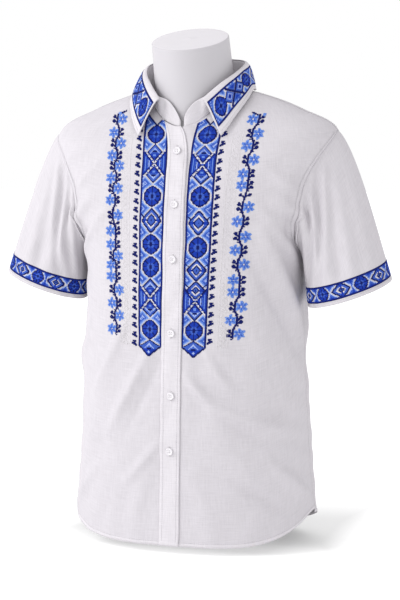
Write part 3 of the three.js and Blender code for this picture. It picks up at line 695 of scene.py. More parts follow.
# ---- The collar ----
def collar_row(along):
    """The fold's point and the leaf's outer edge, from the centre back (0) to a front end (1 or -1)."""
    place = np.abs(along)
    i = np.clip(np.searchsorted(COLLAR_ALONG, place, side="left"), 1, len(COLLAR) - 1)
    at = i - 1 + (place - COLLAR_ALONG[i - 1]) / (COLLAR_ALONG[i] - COLLAR_ALONG[i - 1])
    row = between_rows(COLLAR, at)
    side = np.where(along < 0, -1.0, 1.0)
    fold = np.stack([side * row[..., 0], row[..., 1], row[..., 2]], -1)
    return fold, body_point(side * rad(row[..., 3]), row[..., 4], row[..., 5])


def from_neck_axis(p):
    """The level direction from the neck's upright axis to a point."""
    return unit(np.stack([p[..., 0], p[..., 1] - NECK_AXIS_Y, np.zeros(p.shape[:-1])], -1))


def fold_above(seam):
    """The fold's point that lies in the same direction from the neck's axis, found by halving."""
    wanted = np.arctan2(np.abs(seam[..., 0]), NECK_AXIS_Y - seam[..., 1])
    low, high = np.zeros(wanted.shape), np.ones(wanted.shape)
    for _ in range(30):
        middle = (low + high) / 2
        fold, _edge = collar_row(middle)
        past = np.arctan2(fold[..., 0], NECK_AXIS_Y - fold[..., 1]) > wanted
        low, high = np.where(past, middle, low), np.where(past, high, middle)
    fold, _edge = collar_row(high)
    return fold * np.stack([np.sign(seam[..., 0]), np.ones(wanted.shape), np.ones(wanted.shape)], -1)


def collar_band():
    """The collar's stand, straight from the neck seam up to the leaf's fold.

    Its free front ends rise as a quarter of a sine wave instead, and have round corners.
    """
    first = angle_at_x(-STAND_OVERLAP + NECK_SPREAD, NECK)
    last = rad(360) + angle_at_x(PLACKET_WIDTH / 2 - NECK_SPREAD, NECK)
    angle = mix(first, last, np.linspace(0, 1, 161))
    seam = body_point(angle, np.full(angle.shape, float(NECK)))
    along = walked(seam, 0)
    corner = np.clip(1 - np.minimum(along, along[-1] - along) / BAND_CORNER, 0, 1)
    rounded = mix(BAND_END_HEIGHT, 1, np.sqrt(1 - corner**2))
    up_cloth = unit(smooth_body(angle, NECK) - smooth_body(angle, NECK - 0.02))
    foot = seam + up_cloth * SEAM
    from_middle = np.abs(seam[:, 0])
    free = 1 - smoothstep(from_middle, BAND_FREE, BAND_FREE + BAND_BLEND)
    wave = np.sin(np.pi / 2 * np.clip(from_middle / BAND_RISE_LONG, 0, 1))
    sloped = seam + mix(BAND_RISE_FRONT, BAND_RISE_BACK, wave)[:, None] * [0, BAND_LEAN, 1]
    top = mix(fold_above(seam) - [0, 0, GAP], sloped, free[:, None])
    base = mix(foot, top, np.linspace(0, 1, 15)[:, None, None] * rounded[None, :, None])
    out = from_neck_axis(base)
    out[0] = body_normal(angle, NECK)
    return cloth("collar_band", base, base + out * CLOTH, material=DOUBLE_LINEN)


def collar_grid(cols):
    """The leaf's under face and outward direction: a parabola from the fold over its roll to the outer edge."""
    fold, edge = collar_row(np.linspace(1, -1, cols))
    roll = fold + from_neck_axis(fold) * ROLL_OUT + [0, 0, ROLL_UP]
    t = COLLAR_STEPS[:, None, None]
    base = fold * (1 - t) ** 2 + roll * 2 * t * (1 - t) + edge * t**2
    along, down = np.gradient(base, axis=1), np.gradient(base, axis=0)
    return base, unit(np.cross(down, along))


def collar_leaf():
    """The collar's folded leaf, of double cloth."""
    base, out = collar_grid(181)
    return cloth("collar", base, base + out * CLOTH,
                 flip=True, material=DOUBLE_LINEN)


collar_band()
leaf = collar_leaf()


# ---- Thread ----
NAVY, DEEP, ROYAL, MID, LIGHT, PALE, WHITE, SHADE_STITCH_THREAD = range(1, 9)
CELL = 1.5  # side of one cross-stitch
THREAD = 0.32  # how high a thread stands
OFF_CLOTH = 0.03
ROOF_END = 0.16  # share of a thread's length over which its ridge rises at each end
CROSS_WIDE, CROSS_OVER = 0.82, 0.45  # a thread's width, and the upper one's lift, as shares


def thread(name, colour):
    """Cotton thread: matt, with a faint sheen."""
    return surface(name, colour, 0.6, Specular_IOR_Level=0.12)[0]


THREADS = [
    thread("thread_navy", (0.0035, 0.0085, 0.105)),
    thread("thread_deep_blue", (0.006, 0.020, 0.20)),
    thread("thread_royal", (0.009, 0.040, 0.36)),
    thread("thread_cornflower", (0.045, 0.105, 0.45)),
    thread("thread_sky", (0.125, 0.235, 0.60)),
    thread("thread_pale_blue", (0.34, 0.43, 0.70)),
    thread("thread_white", (0.62, 0.60, 0.62)),
    # Darker than the linen: painted shade of the needle holes along the topstitching
    thread("seam_thread_painted_shade", (0.40, 0.385, 0.41)),
]


def bars(name, starts, ends, up, width, height, kinds, on):
    """Short threads: each is a closed little roof whose ridge runs from its start to its end."""
    along = ends - starts
    side = unit(np.cross(up, along)) * width / 2
    ridge_a, ridge_b = starts + along * ROOF_END + up * height, ends - along * ROOF_END + up * height
    points = np.stack([starts + side, starts - side, ends + side, ends - side, ridge_a, ridge_b], 1)
    first = (np.arange(len(starts)) * 6)[:, None, None]
    quads = (np.array([[0, 4, 5, 2], [1, 3, 5, 4], [0, 2, 3, 1]])[None] + first).reshape(-1, 4)
    tips = (np.array([[2, 5, 3], [0, 1, 4]])[None] + first).reshape(-1, 3)
    kinds = np.broadcast_to(kinds, len(starts)) - 1
    kinds = np.concatenate([np.repeat(kinds, 3), np.repeat(kinds, 2)])
    obj = put_mesh(name, points.reshape(-1, 3), quads.tolist() + tips.tolist(), material=THREADS, kinds=kinds)
    obj.parent = on


def cell_normals(corners, away_from):
    """The direction across every cell's two diagonals, turned away from a point."""
    a, b, c, d = cell_corners(corners)
    n = unit(np.cross(c - a, d - b))
    return n * np.sign((n * ((a + c) / 2 - away_from)).sum(-1).mean())


def cross_stitch(name, corners, colours, away_from, on):
    """A cross in every coloured cell of a grid of corners: one thread over the other along its diagonals."""
    worked = colours > 0
    a, b, c, d = [corner[worked] for corner in cell_corners(corners)]
    n, kinds = cell_normals(corners, away_from)[worked], colours[worked]
    over = n * THREAD * CROSS_OVER
    bars(name, np.concatenate([a, b + over]), np.concatenate([c, d + over]), np.concatenate([n, n]),
         CELL * CROSS_WIDE, THREAD, np.concatenate([kinds, kinds]), on)


def near_segment(u, v, a, b):
    """How far a point is from a segment."""
    (ax, ay), (bx, by) = a, b
    dx, dy = bx - ax, by - ay
    t = np.clip(((u - ax) * dx + (v - ay) * dy) / (dx * dx + dy * dy), 0, 1)
    return np.hypot(u - ax - dx * t, v - ay - dy * t)


def paint(colours, where, kind):
    """Gives the cells of a region one kind of thread, or none for 0."""
    colours[where] = kind


# ---- The motifs: u across the band and v along it, in millimetres from a motif's middle ----
def rosette_reach(u, v, wide, high):
    """|u / wide|^1.3 + |v / high|^1.9: pointed above and below, full at the sides."""
    return np.abs(u / wide) ** 1.3 + np.abs(v / high) ** 1.9


def rosette_away(u, v, wide, high):
    """About how far outside a rosette a place is: its reach to the power 0.58, less 1, times its width."""
    return (rosette_reach(u, v, wide, high) ** 0.58 - 1) * wide


def rosette(colours, u, v, wide, high):
    """A dark rim, royal petals parted by eight rays, and a dark middle inside a ring of lighter stitches."""
    m = rosette_reach(u, v, wide, high)
    r, a = np.hypot(u, v), np.arctan2(v, u)
    size = min(wide, high)
    paint(colours, m < 1, NAVY)
    paint(colours, m < 0.80, ROYAL)
    ray = np.abs(np.sin(a * 4)) * r < 3.0
    paint(colours, (m < 0.80) & (r > 0.45 * size) & ray, NAVY)
    paint(colours, (m < 0.80) & (r < 0.42 * size), MID)
    paint(colours, (r < 0.42 * size) & (np.abs(np.sin(a * 2)) * r < 1.3), DEEP)
    paint(colours, r < 0.2 * size, NAVY)


def lozenge_reach(u, v, wide, high):
    """(|u / wide|^p + |v / high|^p)^(1/p) with p 1.12, so the sides swell a little."""
    return (np.abs(u / wide) ** 1.12 + np.abs(v / high) ** 1.12) ** (1 / 1.12)


def lozenge(colours, u, v, wide, high):
    """Rings of its reach: dark rim, mid blue, pale chevrons open at the sides, a dark ring and a dark eye."""
    d = lozenge_reach(u, v, wide, high)
    thick = math.hypot(1 / wide, 1 / high)
    rim, pale = 1 - 1.9 * thick, 1 - 4.6 * thick
    paint(colours, d < 1, NAVY)
    paint(colours, d < rim, MID)
    paint(colours, (d < rim) & (np.abs(v) < 2), ROYAL)
    paint(colours, d < pale, WHITE)
    paint(colours, (d < pale) & (np.abs(v) < 1.6), ROYAL)
    paint(colours, d < pale - 1.5 * thick, NAVY)
    paint(colours, d < pale - 3.4 * thick, MID)
    paint(colours, np.hypot(u, v) < 1.3, NAVY)


def side_ticks(colours, u, v, wide, high):
    """Short dark lines that leave a lozenge's upper sides outwards and up."""
    start, end = (wide * 0.62, high * 0.2), (wide + 2.5, high * 0.2 + wide * 0.45)
    tick = near_segment(np.abs(u), v, start, end) < 0.95
    paint(colours, tick & (lozenge_reach(u, v, wide, high) > 0.9), NAVY)


STAR_HIGH, STAR_HALF = 20.8, 17.2  # how far its diagonals reach up and to the side
STAR_SLOPE = STAR_HIGH / STAR_HALF
STAR_POINT, STAR_WAIST, STAR_WAIST_HALF = 31, 18.5, 12.6  # its lozenges' tips, and where they are widest


def star_lozenge(a, b):
    """How far outside a lozenge a place is; the lozenge stands on the middle, between the diagonals."""
    sides = (a / STAR_WAIST_HALF + (b - STAR_WAIST) / (STAR_POINT - STAR_WAIST) - 1) * 8.9
    return np.maximum(sides, (a - b / STAR_SLOPE + 2.4) * 0.75)


def star_reach(u, v, upper=True):
    """How far outside a star cross a place is: its side triangles and the lozenges that stand on its middle."""
    side = (np.abs(v) - np.abs(u) * STAR_SLOPE) / math.hypot(1, STAR_SLOPE)
    shape = star_lozenge(np.abs(u), np.abs(v))
    if not upper:
        shape = np.where(v > 0, 99, shape)
    return np.minimum(side, shape)


def star_cross(colours, u, v, upper=True):
    """Dotted white diagonals between dark lines over royal side triangles, with a lozenge above and below."""
    a, b = np.abs(u), np.abs(v)
    off = (b - a * STAR_SLOPE) / math.hypot(1, STAR_SLOPE)
    side = (off < 0) & (b < STAR_HIGH)
    paint(colours, side, ROYAL)
    paint(colours, side & (np.abs(a - 8.4) < 0.8) & (b < 5.5), PALE)
    paint(colours, side & (np.abs(a - 11) < 1.1) & (b < 7), MID)
    paint(colours, side & (np.abs(a - 11) < 0.8) & (np.abs(b - 2.6) < 1), NAVY)
    paint(colours, side & (np.abs(a - 14.4) < 0.9) & (b < 11), LIGHT)
    paint(colours, side & (off > -2.6), NAVY)
    loz = star_lozenge(a, b)
    for here in ((v > 0) & upper, v < 0):
        paint(colours, here & (loz < 0), NAVY)
        paint(colours, here & (loz < -1.7), MID)
        paint(colours, here & (loz < -1.7) & (b < 16), ROYAL)
        paint(colours, here & (loz < -1.2) & (np.abs(b + a * 0.95 - 23.6) < 1.15), PALE)
        paint(colours, here & (loz < -1.2) & (np.abs(b - 18.6) < 1.3) & (a < 3.4), NAVY)
        paint(colours, here & (loz < -0.6) & (np.abs(b - 12.2) < 1.6) & (a < 1.6), LIGHT)
    near = (b < STAR_HIGH + 1) & (a < STAR_HALF)
    if not upper:
        near &= (v < 11)
    paint(colours, near & (np.abs(off) < 0.78), WHITE)
    paint(colours, near & (np.abs(off) < 0.78) & (np.mod(b, 4.2) < 1.3), MID)


LEAF = ((2.0, PALE), (3.0, LIGHT), (4.6, MID), (7.4, PALE), (8.6, MID))  # from how far away, and the thread
CUFF_LEAF = ((1.7, PALE), (2.8, MID), (5, ROYAL))


def ground(colours, away, leaf=LEAF):
    """The ground between motifs: bare cloth close to them, and further off a leaf in rings of other threads."""
    free = colours == 0
    for far, kind in leaf:
        paint(colours, free & (away > far), kind)


def edge_lines(colours, u, half, where=True):
    """The two outermost cells of a band, deep blue and then navy."""
    paint(colours, where & (np.abs(u) > half - 2 * CELL), DEEP)
    paint(colours, where & (np.abs(u) > half - CELL), NAVY)


# ---- The front bands ----
def front_at(x, z):
    """The angle and level of the front at a place across and a height: Newton's rule on the smooth surface."""
    levels = np.linspace(HEM, NECK, 400)
    level = np.interp(z, smooth_body(np.zeros(400), levels)[:, 2], levels)
    angle = np.arcsin(np.clip(x / between_rows(RINGS, level)[..., HALF], -0.9, 0.9)) * 0.8
    step = 1e-3
    for _ in range(14):
        p = smooth_body(angle, level)
        pa = (smooth_body(angle + step, level) - p) / step
        pl = (smooth_body(angle, level + step) - p) / step
        dx, dz = x - p[..., 0], z - p[..., 2]
        det = pa[..., 0] * pl[..., 2] - pa[..., 2] * pl[..., 0]
        angle = np.clip(angle + (dx * pl[..., 2] - dz * pl[..., 0]) / det, rad(-84), rad(84))
        level = np.clip(level + (pa[..., 0] * dz - pa[..., 2] * dx) / det, HEM, NECK)
    return angle, level


def front_cells(middle, half_cols, z_low, z_high, widening=None):
    """Corners of the cells of a strip round a line x(z) on the front, the cells' u and z, and their levels."""
    rows = int(round((z_high - z_low) / CELL))
    z = np.linspace(z_low, z_high, rows + 1)[:, None]
    u = (np.arange(2 * half_cols + 2) - half_cols - 0.5) * CELL
    wide = widening(z) if widening else 1
    x = middle(z) + u[None, :] * wide
    angle, level = front_at(x, np.broadcast_to(z, x.shape))
    corners = body_point(angle, level, CLOTH + OFF_CLOTH)
    uc = np.broadcast_to((u[1:] + u[:-1])[None] / 2, (rows, 2 * half_cols + 1))
    zc = np.broadcast_to((z[1:] + z[:-1]) / 2, uc.shape)
    return corners, uc, zc, level[:-1, :-1]


BODY_MIDDLE = np.array([0, 0, 400])
STITCH_TOP = 10.8  # no stitches above this level
BAND_HALF = 13  # cells on each side of the middle one
BAND_EDGE = (BAND_HALF + 0.5) * CELL
# The bands' middle lines and how much wider they are worked, each as heights and values at them.
RIGHT_LINE = ([331, 400, 506, 565, 614, 664, 690], [-36.6, -37.4, -37.6, -37.8, -38.2, -40.9, -43])
LEFT_LINE = ([334, 429, 491, 561, 615, 640, 663, 690], [36, 38.2, 40.4, 41.4, 42, 43, 45, 48.5])
RIGHT_WIDENING = ([331, 400, 600, 690], [0.98, 1, 1.04, 1.02])
LEFT_WIDENING = ([331, 430, 560, 690], [0.98, 1, 1.07, 1.07])
RIGHT_BAND = [  # kind, middle z, half width, half height
    ("rosette", 664.6, 14.4, 15),
    ("star", 618.2, 0, 0),
    ("rosette", 566.3, 15, 16.6),
    ("lozenge", 528.4, 16.4, 19.8),
    ("rosette", 490.9, 15, 16.4),
    ("rosette", 455.2, 15, 17),
    ("star", 405.8, 0, 0),
    ("rosette", 356.1, 15, 15.6),
]
LEFT_BAND = [
    ("rosette", 663.5, 14.4, 15),
    ("star", 615.5, 0, 0),
    ("rosette", 566.3, 15, 16.6),
    ("lozenge", 525, 16.4, 19.4),
    ("rosette", 486.6, 15, 17.4),
    ("lozenge", 451, 16.2, 17.4),
    ("lozenge", 419.5, 15.6, 14.6),
    ("half_star", 402, 0, 0),
    ("rosette", 356.1, 15, 15.6),
]
TIP_Z, TIP_TOP, TIP_BOTTOM = 330, 340.2, 313.4  # the pointed end's middle, top and point
TOP_NOTCH_Z = 681  # the bottom of the notch in the upper end


def tip_reach(u, v):
    """The pointed end: a lozenge whose upper half is low and whose lower half runs from edge to edge."""
    upper = np.abs(u) / 17.5 + v / (TIP_TOP - TIP_Z)
    return np.where(v > 0, upper, np.abs(u) / (BAND_EDGE + 0.4) - v / (TIP_Z - TIP_BOTTOM))


def tip_motif(colours, u, v):
    """A dark rim round royal and mid blue, with a pale chevron, a dark bar and a pale spot in the point."""
    d = tip_reach(u, v)
    a = np.abs(u)
    paint(colours, d < 1, NAVY)
    paint(colours, d < 0.83, ROYAL)
    paint(colours, (d < 0.83) & (v > -4), MID)
    paint(colours, (d < 0.9) & (np.abs(v + a * 0.85 - 3.2) < 1.2) & (a < 9), PALE)
    paint(colours, (d < 0.8) & (np.abs(v + 4.4) < 1.2) & (a < 4), NAVY)
    paint(colours, np.abs(v + 9) + a < 2.6, PALE)


def band_away(u, z, motifs):
    """How far the ground is from the nearest motif, the pointed end or the upper notch."""
    away = (tip_reach(u, z - TIP_Z) - 1) * 8.5
    for kind, at, wide, high in motifs:
        v = z - at
        if kind == "rosette":
            away = np.minimum(away, rosette_away(u, v, wide, high))
        elif kind == "lozenge":
            size = wide * high / math.hypot(wide, high)
            away = np.minimum(away, (lozenge_reach(u, v, wide, high) - 1) * size)
        else:
            away = np.minimum(away, star_reach(u, v, upper=kind == "star"))
    return away


def band_colours(u, z, motifs):
    """Edge lines, the motifs and leaves on the ground; the lower end is a point and the upper a notch."""
    colours = np.zeros(u.shape, int)
    notch = (np.abs(u) * 0.95 - (z - TOP_NOTCH_Z)) / 1.4
    ground(colours, np.minimum(band_away(u, z, motifs), notch + 2.2))
    paint(colours, notch < 0, 0)
    paint(colours, np.abs(notch - 1) < 1.1, NAVY)
    for kind, at, wide, high in motifs:
        v = z - at
        if kind == "rosette":
            rosette(colours, u, v, wide, high)
        elif kind == "lozenge":
            side_ticks(colours, u, v, wide, high)
            lozenge(colours, u, v, wide, high)
        else:
            star_cross(colours, u, v, upper=kind == "star")
    paint(colours, z < TIP_Z, 0)
    tip_motif(colours, u, z - TIP_Z)
    edge_lines(colours, u, BAND_EDGE, z > TIP_Z - 1.5)
    return colours


def line_of(table):
    """The value at a height, straight between the table's heights."""
    return lambda z: np.interp(z, *table)


def front_band(name, line, widening, motifs, on):
    """A band's crosses on one front, from its point up to the collar."""
    corners, u, z, level = front_cells(line_of(line), BAND_HALF, TIP_BOTTOM - 1, 700, line_of(widening))
    colours = np.where(level > STITCH_TOP, 0, band_colours(u, z, motifs))
    cross_stitch(name, corners, colours, BODY_MIDDLE, on)


front_band("band_right", RIGHT_LINE, RIGHT_WIDENING, RIGHT_BAND, front_right)
front_band("band_left", LEFT_LINE, LEFT_WIDENING, LEFT_BAND, front_left)

PICOT = [".NNNN.", "..NNN.", "NNNN..", "NNNNN.", "..NNNN", "....NN"]
PICOT_CHART = np.array([[cell == "N" for cell in row] for row in PICOT])
PICOT_PITCH = 14.1
PICOT_OFF = 6.4  # from a band's edge to the middle of the row


def picots(name, line, widening, side, top_z, count, on):
    """A row of little birds' feet that stands just outside a band, each from one small chart."""
    high, wide = PICOT_CHART.shape
    place = lambda z: np.interp(z, *line) + side * (BAND_EDGE * np.interp(z, *widening) + PICOT_OFF)
    corners, u, z, level = front_cells(place, 3, 326, top_z + 8)
    down = top_z + high * CELL / 2 - z
    row = np.floor(np.mod(down, PICOT_PITCH) / CELL).astype(int)
    col = np.floor(u / CELL + wide / 2).astype(int)
    if side > 0:
        col = wide - 1 - col
    inside = (down > 0) & (down < count * PICOT_PITCH) & (row < high) & (col >= 0) & (col < wide)
    inside &= PICOT_CHART[np.clip(row, 0, high - 1), np.clip(col, 0, wide - 1)] & (level <= STITCH_TOP)
    cross_stitch(name, corners, inside * NAVY, BODY_MIDDLE, on)


picots("picots_right", RIGHT_LINE, RIGHT_WIDENING, -1, 672, 25, front_right)
picots("picots_left", LEFT_LINE, LEFT_WIDENING, 1, 664, 24, front_left)


# ---- The flower vines ----
PETAL_AT, PETAL_LONG, PETAL_WIDE = 5.2, 4.1, 2.45  # a petal's middle and its half axes
FLOWER_OFF, STEM_OFF = 7, 2.7  # how far a flower and the stem lie to either side of the vine's line
STEM_BEND = 4.2  # how far above and below a flower the stem runs straight


def flower(colours, du, dz):
    """Six oval petals round an open middle, with a deeper vein in each."""
    for turn in range(6):
        c, s = math.cos(rad(90 + 60 * turn)), math.sin(rad(90 + 60 * turn))
        along, across = du * c + dz * s, dz * c - du * s
        oval = ((along - PETAL_AT) / PETAL_LONG) ** 2 + (across / PETAL_WIDE) ** 2
        paint(colours, oval < 1, LIGHT)
        paint(colours, (oval < 1) & (np.abs(across) < 0.8) & (along < PETAL_AT + 1.4), MID)
    paint(colours, np.hypot(du, dz) < 1.5, 0)


def vine_colours(u, z, flowers, sprig, buds):
    """A stem that swings away from each flower, where it has two buds and two spurs, and a sprig on top."""
    colours = np.zeros(u.shape, int)
    heights = [at + lift for at, _side in flowers for lift in (STEM_BEND, -STEM_BEND)][::-1]
    places = [-side * STEM_OFF for _at, side in flowers for _lift in range(2)][::-1]
    stem = np.interp(z, heights, places)
    slope = np.abs(np.interp(z + CELL / 2, heights, places) - np.interp(z - CELL / 2, heights, places))
    for at, side in flowers:
        flower(colours, u - side * FLOWER_OFF, z - at)
    for at, side in flowers:
        o = -side
        paint(colours, near_segment(u, z, (o * 0.6, at + 7.4), (o * 3.6, at + 8.2)) < 0.8, NAVY)
        for root_z, (end_u, end_z) in ((-0.5, (7.8, 4.4)), (-5.5, (8.2, -2.8))):
            root, end = (o * STEM_OFF, at + root_z), (o * end_u, at + end_z)
            paint(colours, near_segment(u, z, root, end) < 1.2, NAVY)
            paint(colours, np.hypot(u - end[0], z - end[1]) < 2.8, NAVY)
        paint(colours, near_segment(u, z, (o * 1.0, at - 7.6), (o * 4.4, at - 8.8)) < 0.9, NAVY)
    for bud_z, side in buds:
        paint(colours, near_segment(u, z, (side * 0.5, bud_z - 3), (side * 7, bud_z)) < 1.0, NAVY)
        paint(colours, np.hypot(u - side * 7, z - bud_z) < 2.4, NAVY)
    top = flowers[0][0]
    (light_u, light_z), start, stop = sprig
    twig = near_segment(u, z, (start[0], top + start[1]), (stop[0], top + stop[1]))
    paint(colours, twig < 1.2, NAVY)
    paint(colours, np.hypot(u - light_u, z - top - light_z) < 2.9, LIGHT)
    inside = (z < top + 9) & (z > flowers[-1][0] - 6)
    paint(colours, inside & (np.abs(u - stem) < 1.25 + slope * 0.4), NAVY)
    return colours


def vine(name, line, flowers, sprig, buds, on):
    """A vine's crosses on one front, round its line."""
    corners, u, z, level = front_cells(line_of(line), 10, flowers[-1][0] - 14, flowers[0][0] + 18)
    colours = np.where(level > STITCH_TOP, 0, vine_colours(u, z, flowers, sprig, buds))
    cross_stitch(name, corners, colours, BODY_MIDDLE, on)


RIGHT_VINE = ([344, 400, 480, 560, 616, 651, 669, 690, 703],
              [-98.4, -100.2, -103, -105.6, -106.3, -107.3, -109.4, -113.2, -115])
LEFT_VINE = ([344, 406, 483, 528, 554, 577, 599, 624, 647, 671, 690],
             [98, 102, 105.6, 108.2, 111.4, 113, 114.5, 116, 117.5, 119, 121])
FLOWERS_RIGHT = [  # height, and 1 for the wearer's left of the stem
    (689.7, 1), (667.9, -1), (650.7, 1), (631, -1), (614.5, 1), (595.7, -1), (578.5, 1), (560, -1), (536, 1),
    (510.8, -1), (489, -1), (471, 1), (456, -1), (438, -1), (416.8, 1), (395, -1), (375.5, 1), (353.7, -1),
]
FLOWERS_LEFT = [
    (687, -1), (665, 1), (646, -1), (624, 1), (602, -1), (584, -1), (550.7, 1), (528.2, -1), (504.7, 1),
    (483.2, -1), (460.7, 1), (436.2, -1), (417.6, -1), (395, 1), (373.6, -1), (352, 1),
]
RIGHT_SPRIG = ((1, 9.5), (4, 10), (12, 13.5))  # a light bud, and a twig's two ends, above the top flower
LEFT_SPRIG = ((9, 8), (-9.5, 11), (2.2, 6))
vine("vine_right", RIGHT_VINE, FLOWERS_RIGHT, RIGHT_SPRIG, [(524, 1), (524, -1)], front_right)
vine("vine_left", LEFT_VINE, FLOWERS_LEFT, LEFT_SPRIG, [(569, -1), (570, 1)], front_left)


# ---- White drawn-thread columns ----
WHITE_PITCH, WHITE_EDGE = 9, 7.5  # the lattice's repeat, and how far from its middle the upright rows stand


def white_column(name, line, on):
    """White threads in single slanting stitches: a lattice of crossing diagonals between two upright rows."""
    corners, u, z, level = front_cells(line_of(line), 5, 330, 668)
    a, b, c, d = cell_corners(corners)
    fold = np.abs(np.mod(z, WHITE_PITCH) - WHITE_PITCH / 2)
    cells = (np.abs(np.abs(u) - fold) < 0.9) | (np.abs(np.abs(u) - WHITE_EDGE) < 0.8)
    cells &= level < STITCH_TOP - 0.1
    lean = ((np.mod(z, WHITE_PITCH) > WHITE_PITCH / 2) ^ (u > 0))[..., None]
    start, end = np.where(lean, a, b)[cells], np.where(lean, c, d)[cells]
    bars(name, start, end, cell_normals(corners, BODY_MIDDLE)[cells], CELL * 0.5, THREAD, WHITE, on)


white_column("white_work_right", ([330, 480, 592, 672], [-79, -83.5, -86, -90]), front_right)
white_column("white_work_left", ([335, 483, 593, 671], [81, 86, 91, 95]), front_left)


# ---- Walking on a grid ----
def columns_at(grid, row, count):
    """The grid's columns at even steps along one of its rows."""
    length = walked(grid[row], 0)
    at = np.interp(np.linspace(0, length[-1], count), length, np.arange(len(length)))
    j = np.minimum(at.astype(int), grid.shape[1] - 2)
    return mix(grid[:, j], grid[:, j + 1], (at - j)[None, :, None])


def rows_at(grid, wanted):
    """Points of the grid at wanted lengths up its columns, which are an array of rows by columns."""
    length = walked(grid, 0)
    i = np.clip((length[None] <= wanted[:, None, :]).sum(1) - 1, 0, len(grid) - 2)
    col = np.arange(grid.shape[1])[None, :]
    share = ((wanted - length[i, col]) / (length[i + 1, col] - length[i, col]))[..., None]
    return mix(grid[i, col], grid[i + 1, col], share)


def cell_middles(rows, cols):
    """How far each cell's middle lies up from the middle of a band, and along from its first cell's edge."""
    up = (np.arange(rows) + 0.5) * CELL - rows * CELL / 2
    along = (np.arange(cols) + 0.5) * CELL
    return np.meshgrid(up, along, indexing="ij")


# ---- Cuff bands ----
CUFF_HEM = 7.0  # the white hem below the band
CUFF_ROWS = 17
CUFF_MOTIFS = 12
CUFF_ROSETTE, CUFF_LOZENGE = (11.4, 11.8), 12.2  # half widths and heights; a lozenge is as long as its place


def sleeve_face(sleeve_name, side, lift):
    """A sleeve's outer face from its cuff upwards, closed round to its first column."""
    grid = sleeve_surface(sleeve_name, side, CLOTH + lift)
    return np.concatenate([grid, grid[:, :1]], 1)[::-1]


def cuff_band(name, sleeve_name, side, phase, on):
    """A ring of alternate rosettes and lozenges between edge lines, just above the sleeve's white hem."""
    grid = sleeve_face(sleeve_name, side, OFF_CLOTH)[:24]
    cols = int(round(walked(grid[0], 0)[-1] / CELL / CUFF_MOTIFS)) * CUFF_MOTIFS
    wanted = CUFF_HEM + np.arange(CUFF_ROWS + 1) * CELL
    wanted = np.broadcast_to(wanted[:, None], (CUFF_ROWS + 1, cols + 1))
    corners = rows_at(columns_at(grid, 0, cols + 1), wanted)
    pitch = cols / CUFF_MOTIFS * CELL
    u, along = cell_middles(CUFF_ROWS, cols)
    along = (along + phase * pitch) % (2 * pitch)
    first, second = along - pitch / 2, along - pitch * 1.5
    size = CUFF_LOZENGE, pitch / 2 - 0.8
    colours = np.zeros(u.shape, int)
    away = np.minimum(rosette_away(u, first, *CUFF_ROSETTE), (lozenge_reach(u, second, *size) - 1) * 8.6)
    ground(colours, away, CUFF_LEAF)
    rosette(colours, u, first, *CUFF_ROSETTE)
    lozenge(colours, u, second, *size)
    edge_lines(colours, u, CUFF_ROWS * CELL / 2)
    cross_stitch(name, corners, colours, corners.reshape(-1, 3).mean(0), on)


cuff_band("cuff_band_left", "sleeve_left", 1, 0.42, sleeve_left)
cuff_band("cuff_band_right", "sleeve_right", -1, 1.5, sleeve_right)


# ---- The collar's band ----
COLLAR_MARGIN = 0.19  # share of the leaf's height above and below the band
COLLAR_FRONT_MARGIN = 3.2
COLLAR_ROWS = 25
COLLAR_MEASURED_ROW = 19  # the row of the leaf along which its columns are even
COLLAR_PLACES = [  # kind, place from a front end, half width, half height
    ("rosette", 22, 14, 13),
    ("crossed", 56, 0, 0),
    ("rosette", 90, 14, 13),
    ("lozenge", 121, 14.5, 13.5),
    ("rosette", 152, 14, 13),
    ("crossed", 186, 0, 0),
    ("rosette", 220, 14, 13),
    ("lozenge", 252, 14.5, 14),
]


CROSSED = 12.5  # a crossed lozenge's half width, and its middle's distance from the crossing


def crossed_reach(u, v):
    """How far outside crossed lozenges a place is: two lozenges and two bounded diagonals."""
    a, b = np.abs(u), np.abs(v)
    lozenges = (a / CROSSED + np.abs(b - CROSSED) / CROSSED - 1) * 8.8
    return np.minimum(lozenges, np.maximum(np.abs(a - b) / 1.4 - 2.2, np.maximum(a, b) - 16))


def crossed_lozenges(colours, u, v):
    """Dark diagonals in bare cloth, a ringed lozenge on each side of their crossing, blue leaves between."""
    a, b = np.abs(u), np.abs(v)
    d = a / CROSSED + np.abs(b - CROSSED) / CROSSED
    off = np.abs(a - b) / 1.4
    near = np.maximum(a, b) < 15.5
    paint(colours, near & (a > b + 3) & (a < 13.5), MID)
    paint(colours, near & (a > b + 6) & (a < 12), ROYAL)
    for reach, kind in ((1, NAVY), (0.8, MID), (0.5, PALE), (0.38, ROYAL), (0.16, NAVY)):
        paint(colours, (d < reach) & (b > 1), kind)
    paint(colours, near & (off < 2.3), 0)
    paint(colours, near & (off < 1.35), NAVY)


def collar_motifs(colours, u, v):
    """The ground and then the motifs of the collar's band, at their places from a front end."""
    away = np.full(v.shape, 99.0)
    for kind, at, wide, high in COLLAR_PLACES:
        if kind == "rosette":
            away = np.minimum(away, rosette_away(u, v - at, wide, high))
        elif kind == "lozenge":
            away = np.minimum(away, (lozenge_reach(u, v - at, wide, high) - 1) * 9)
        else:
            away = np.minimum(away, crossed_reach(u, v - at))
    ground(colours, away)
    for kind, at, wide, high in COLLAR_PLACES:
        if kind == "rosette":
            rosette(colours, u, v - at, wide, high)
        elif kind == "lozenge":
            lozenge(colours, u, v - at, wide, high)
        else:
            crossed_lozenges(colours, u, v - at)


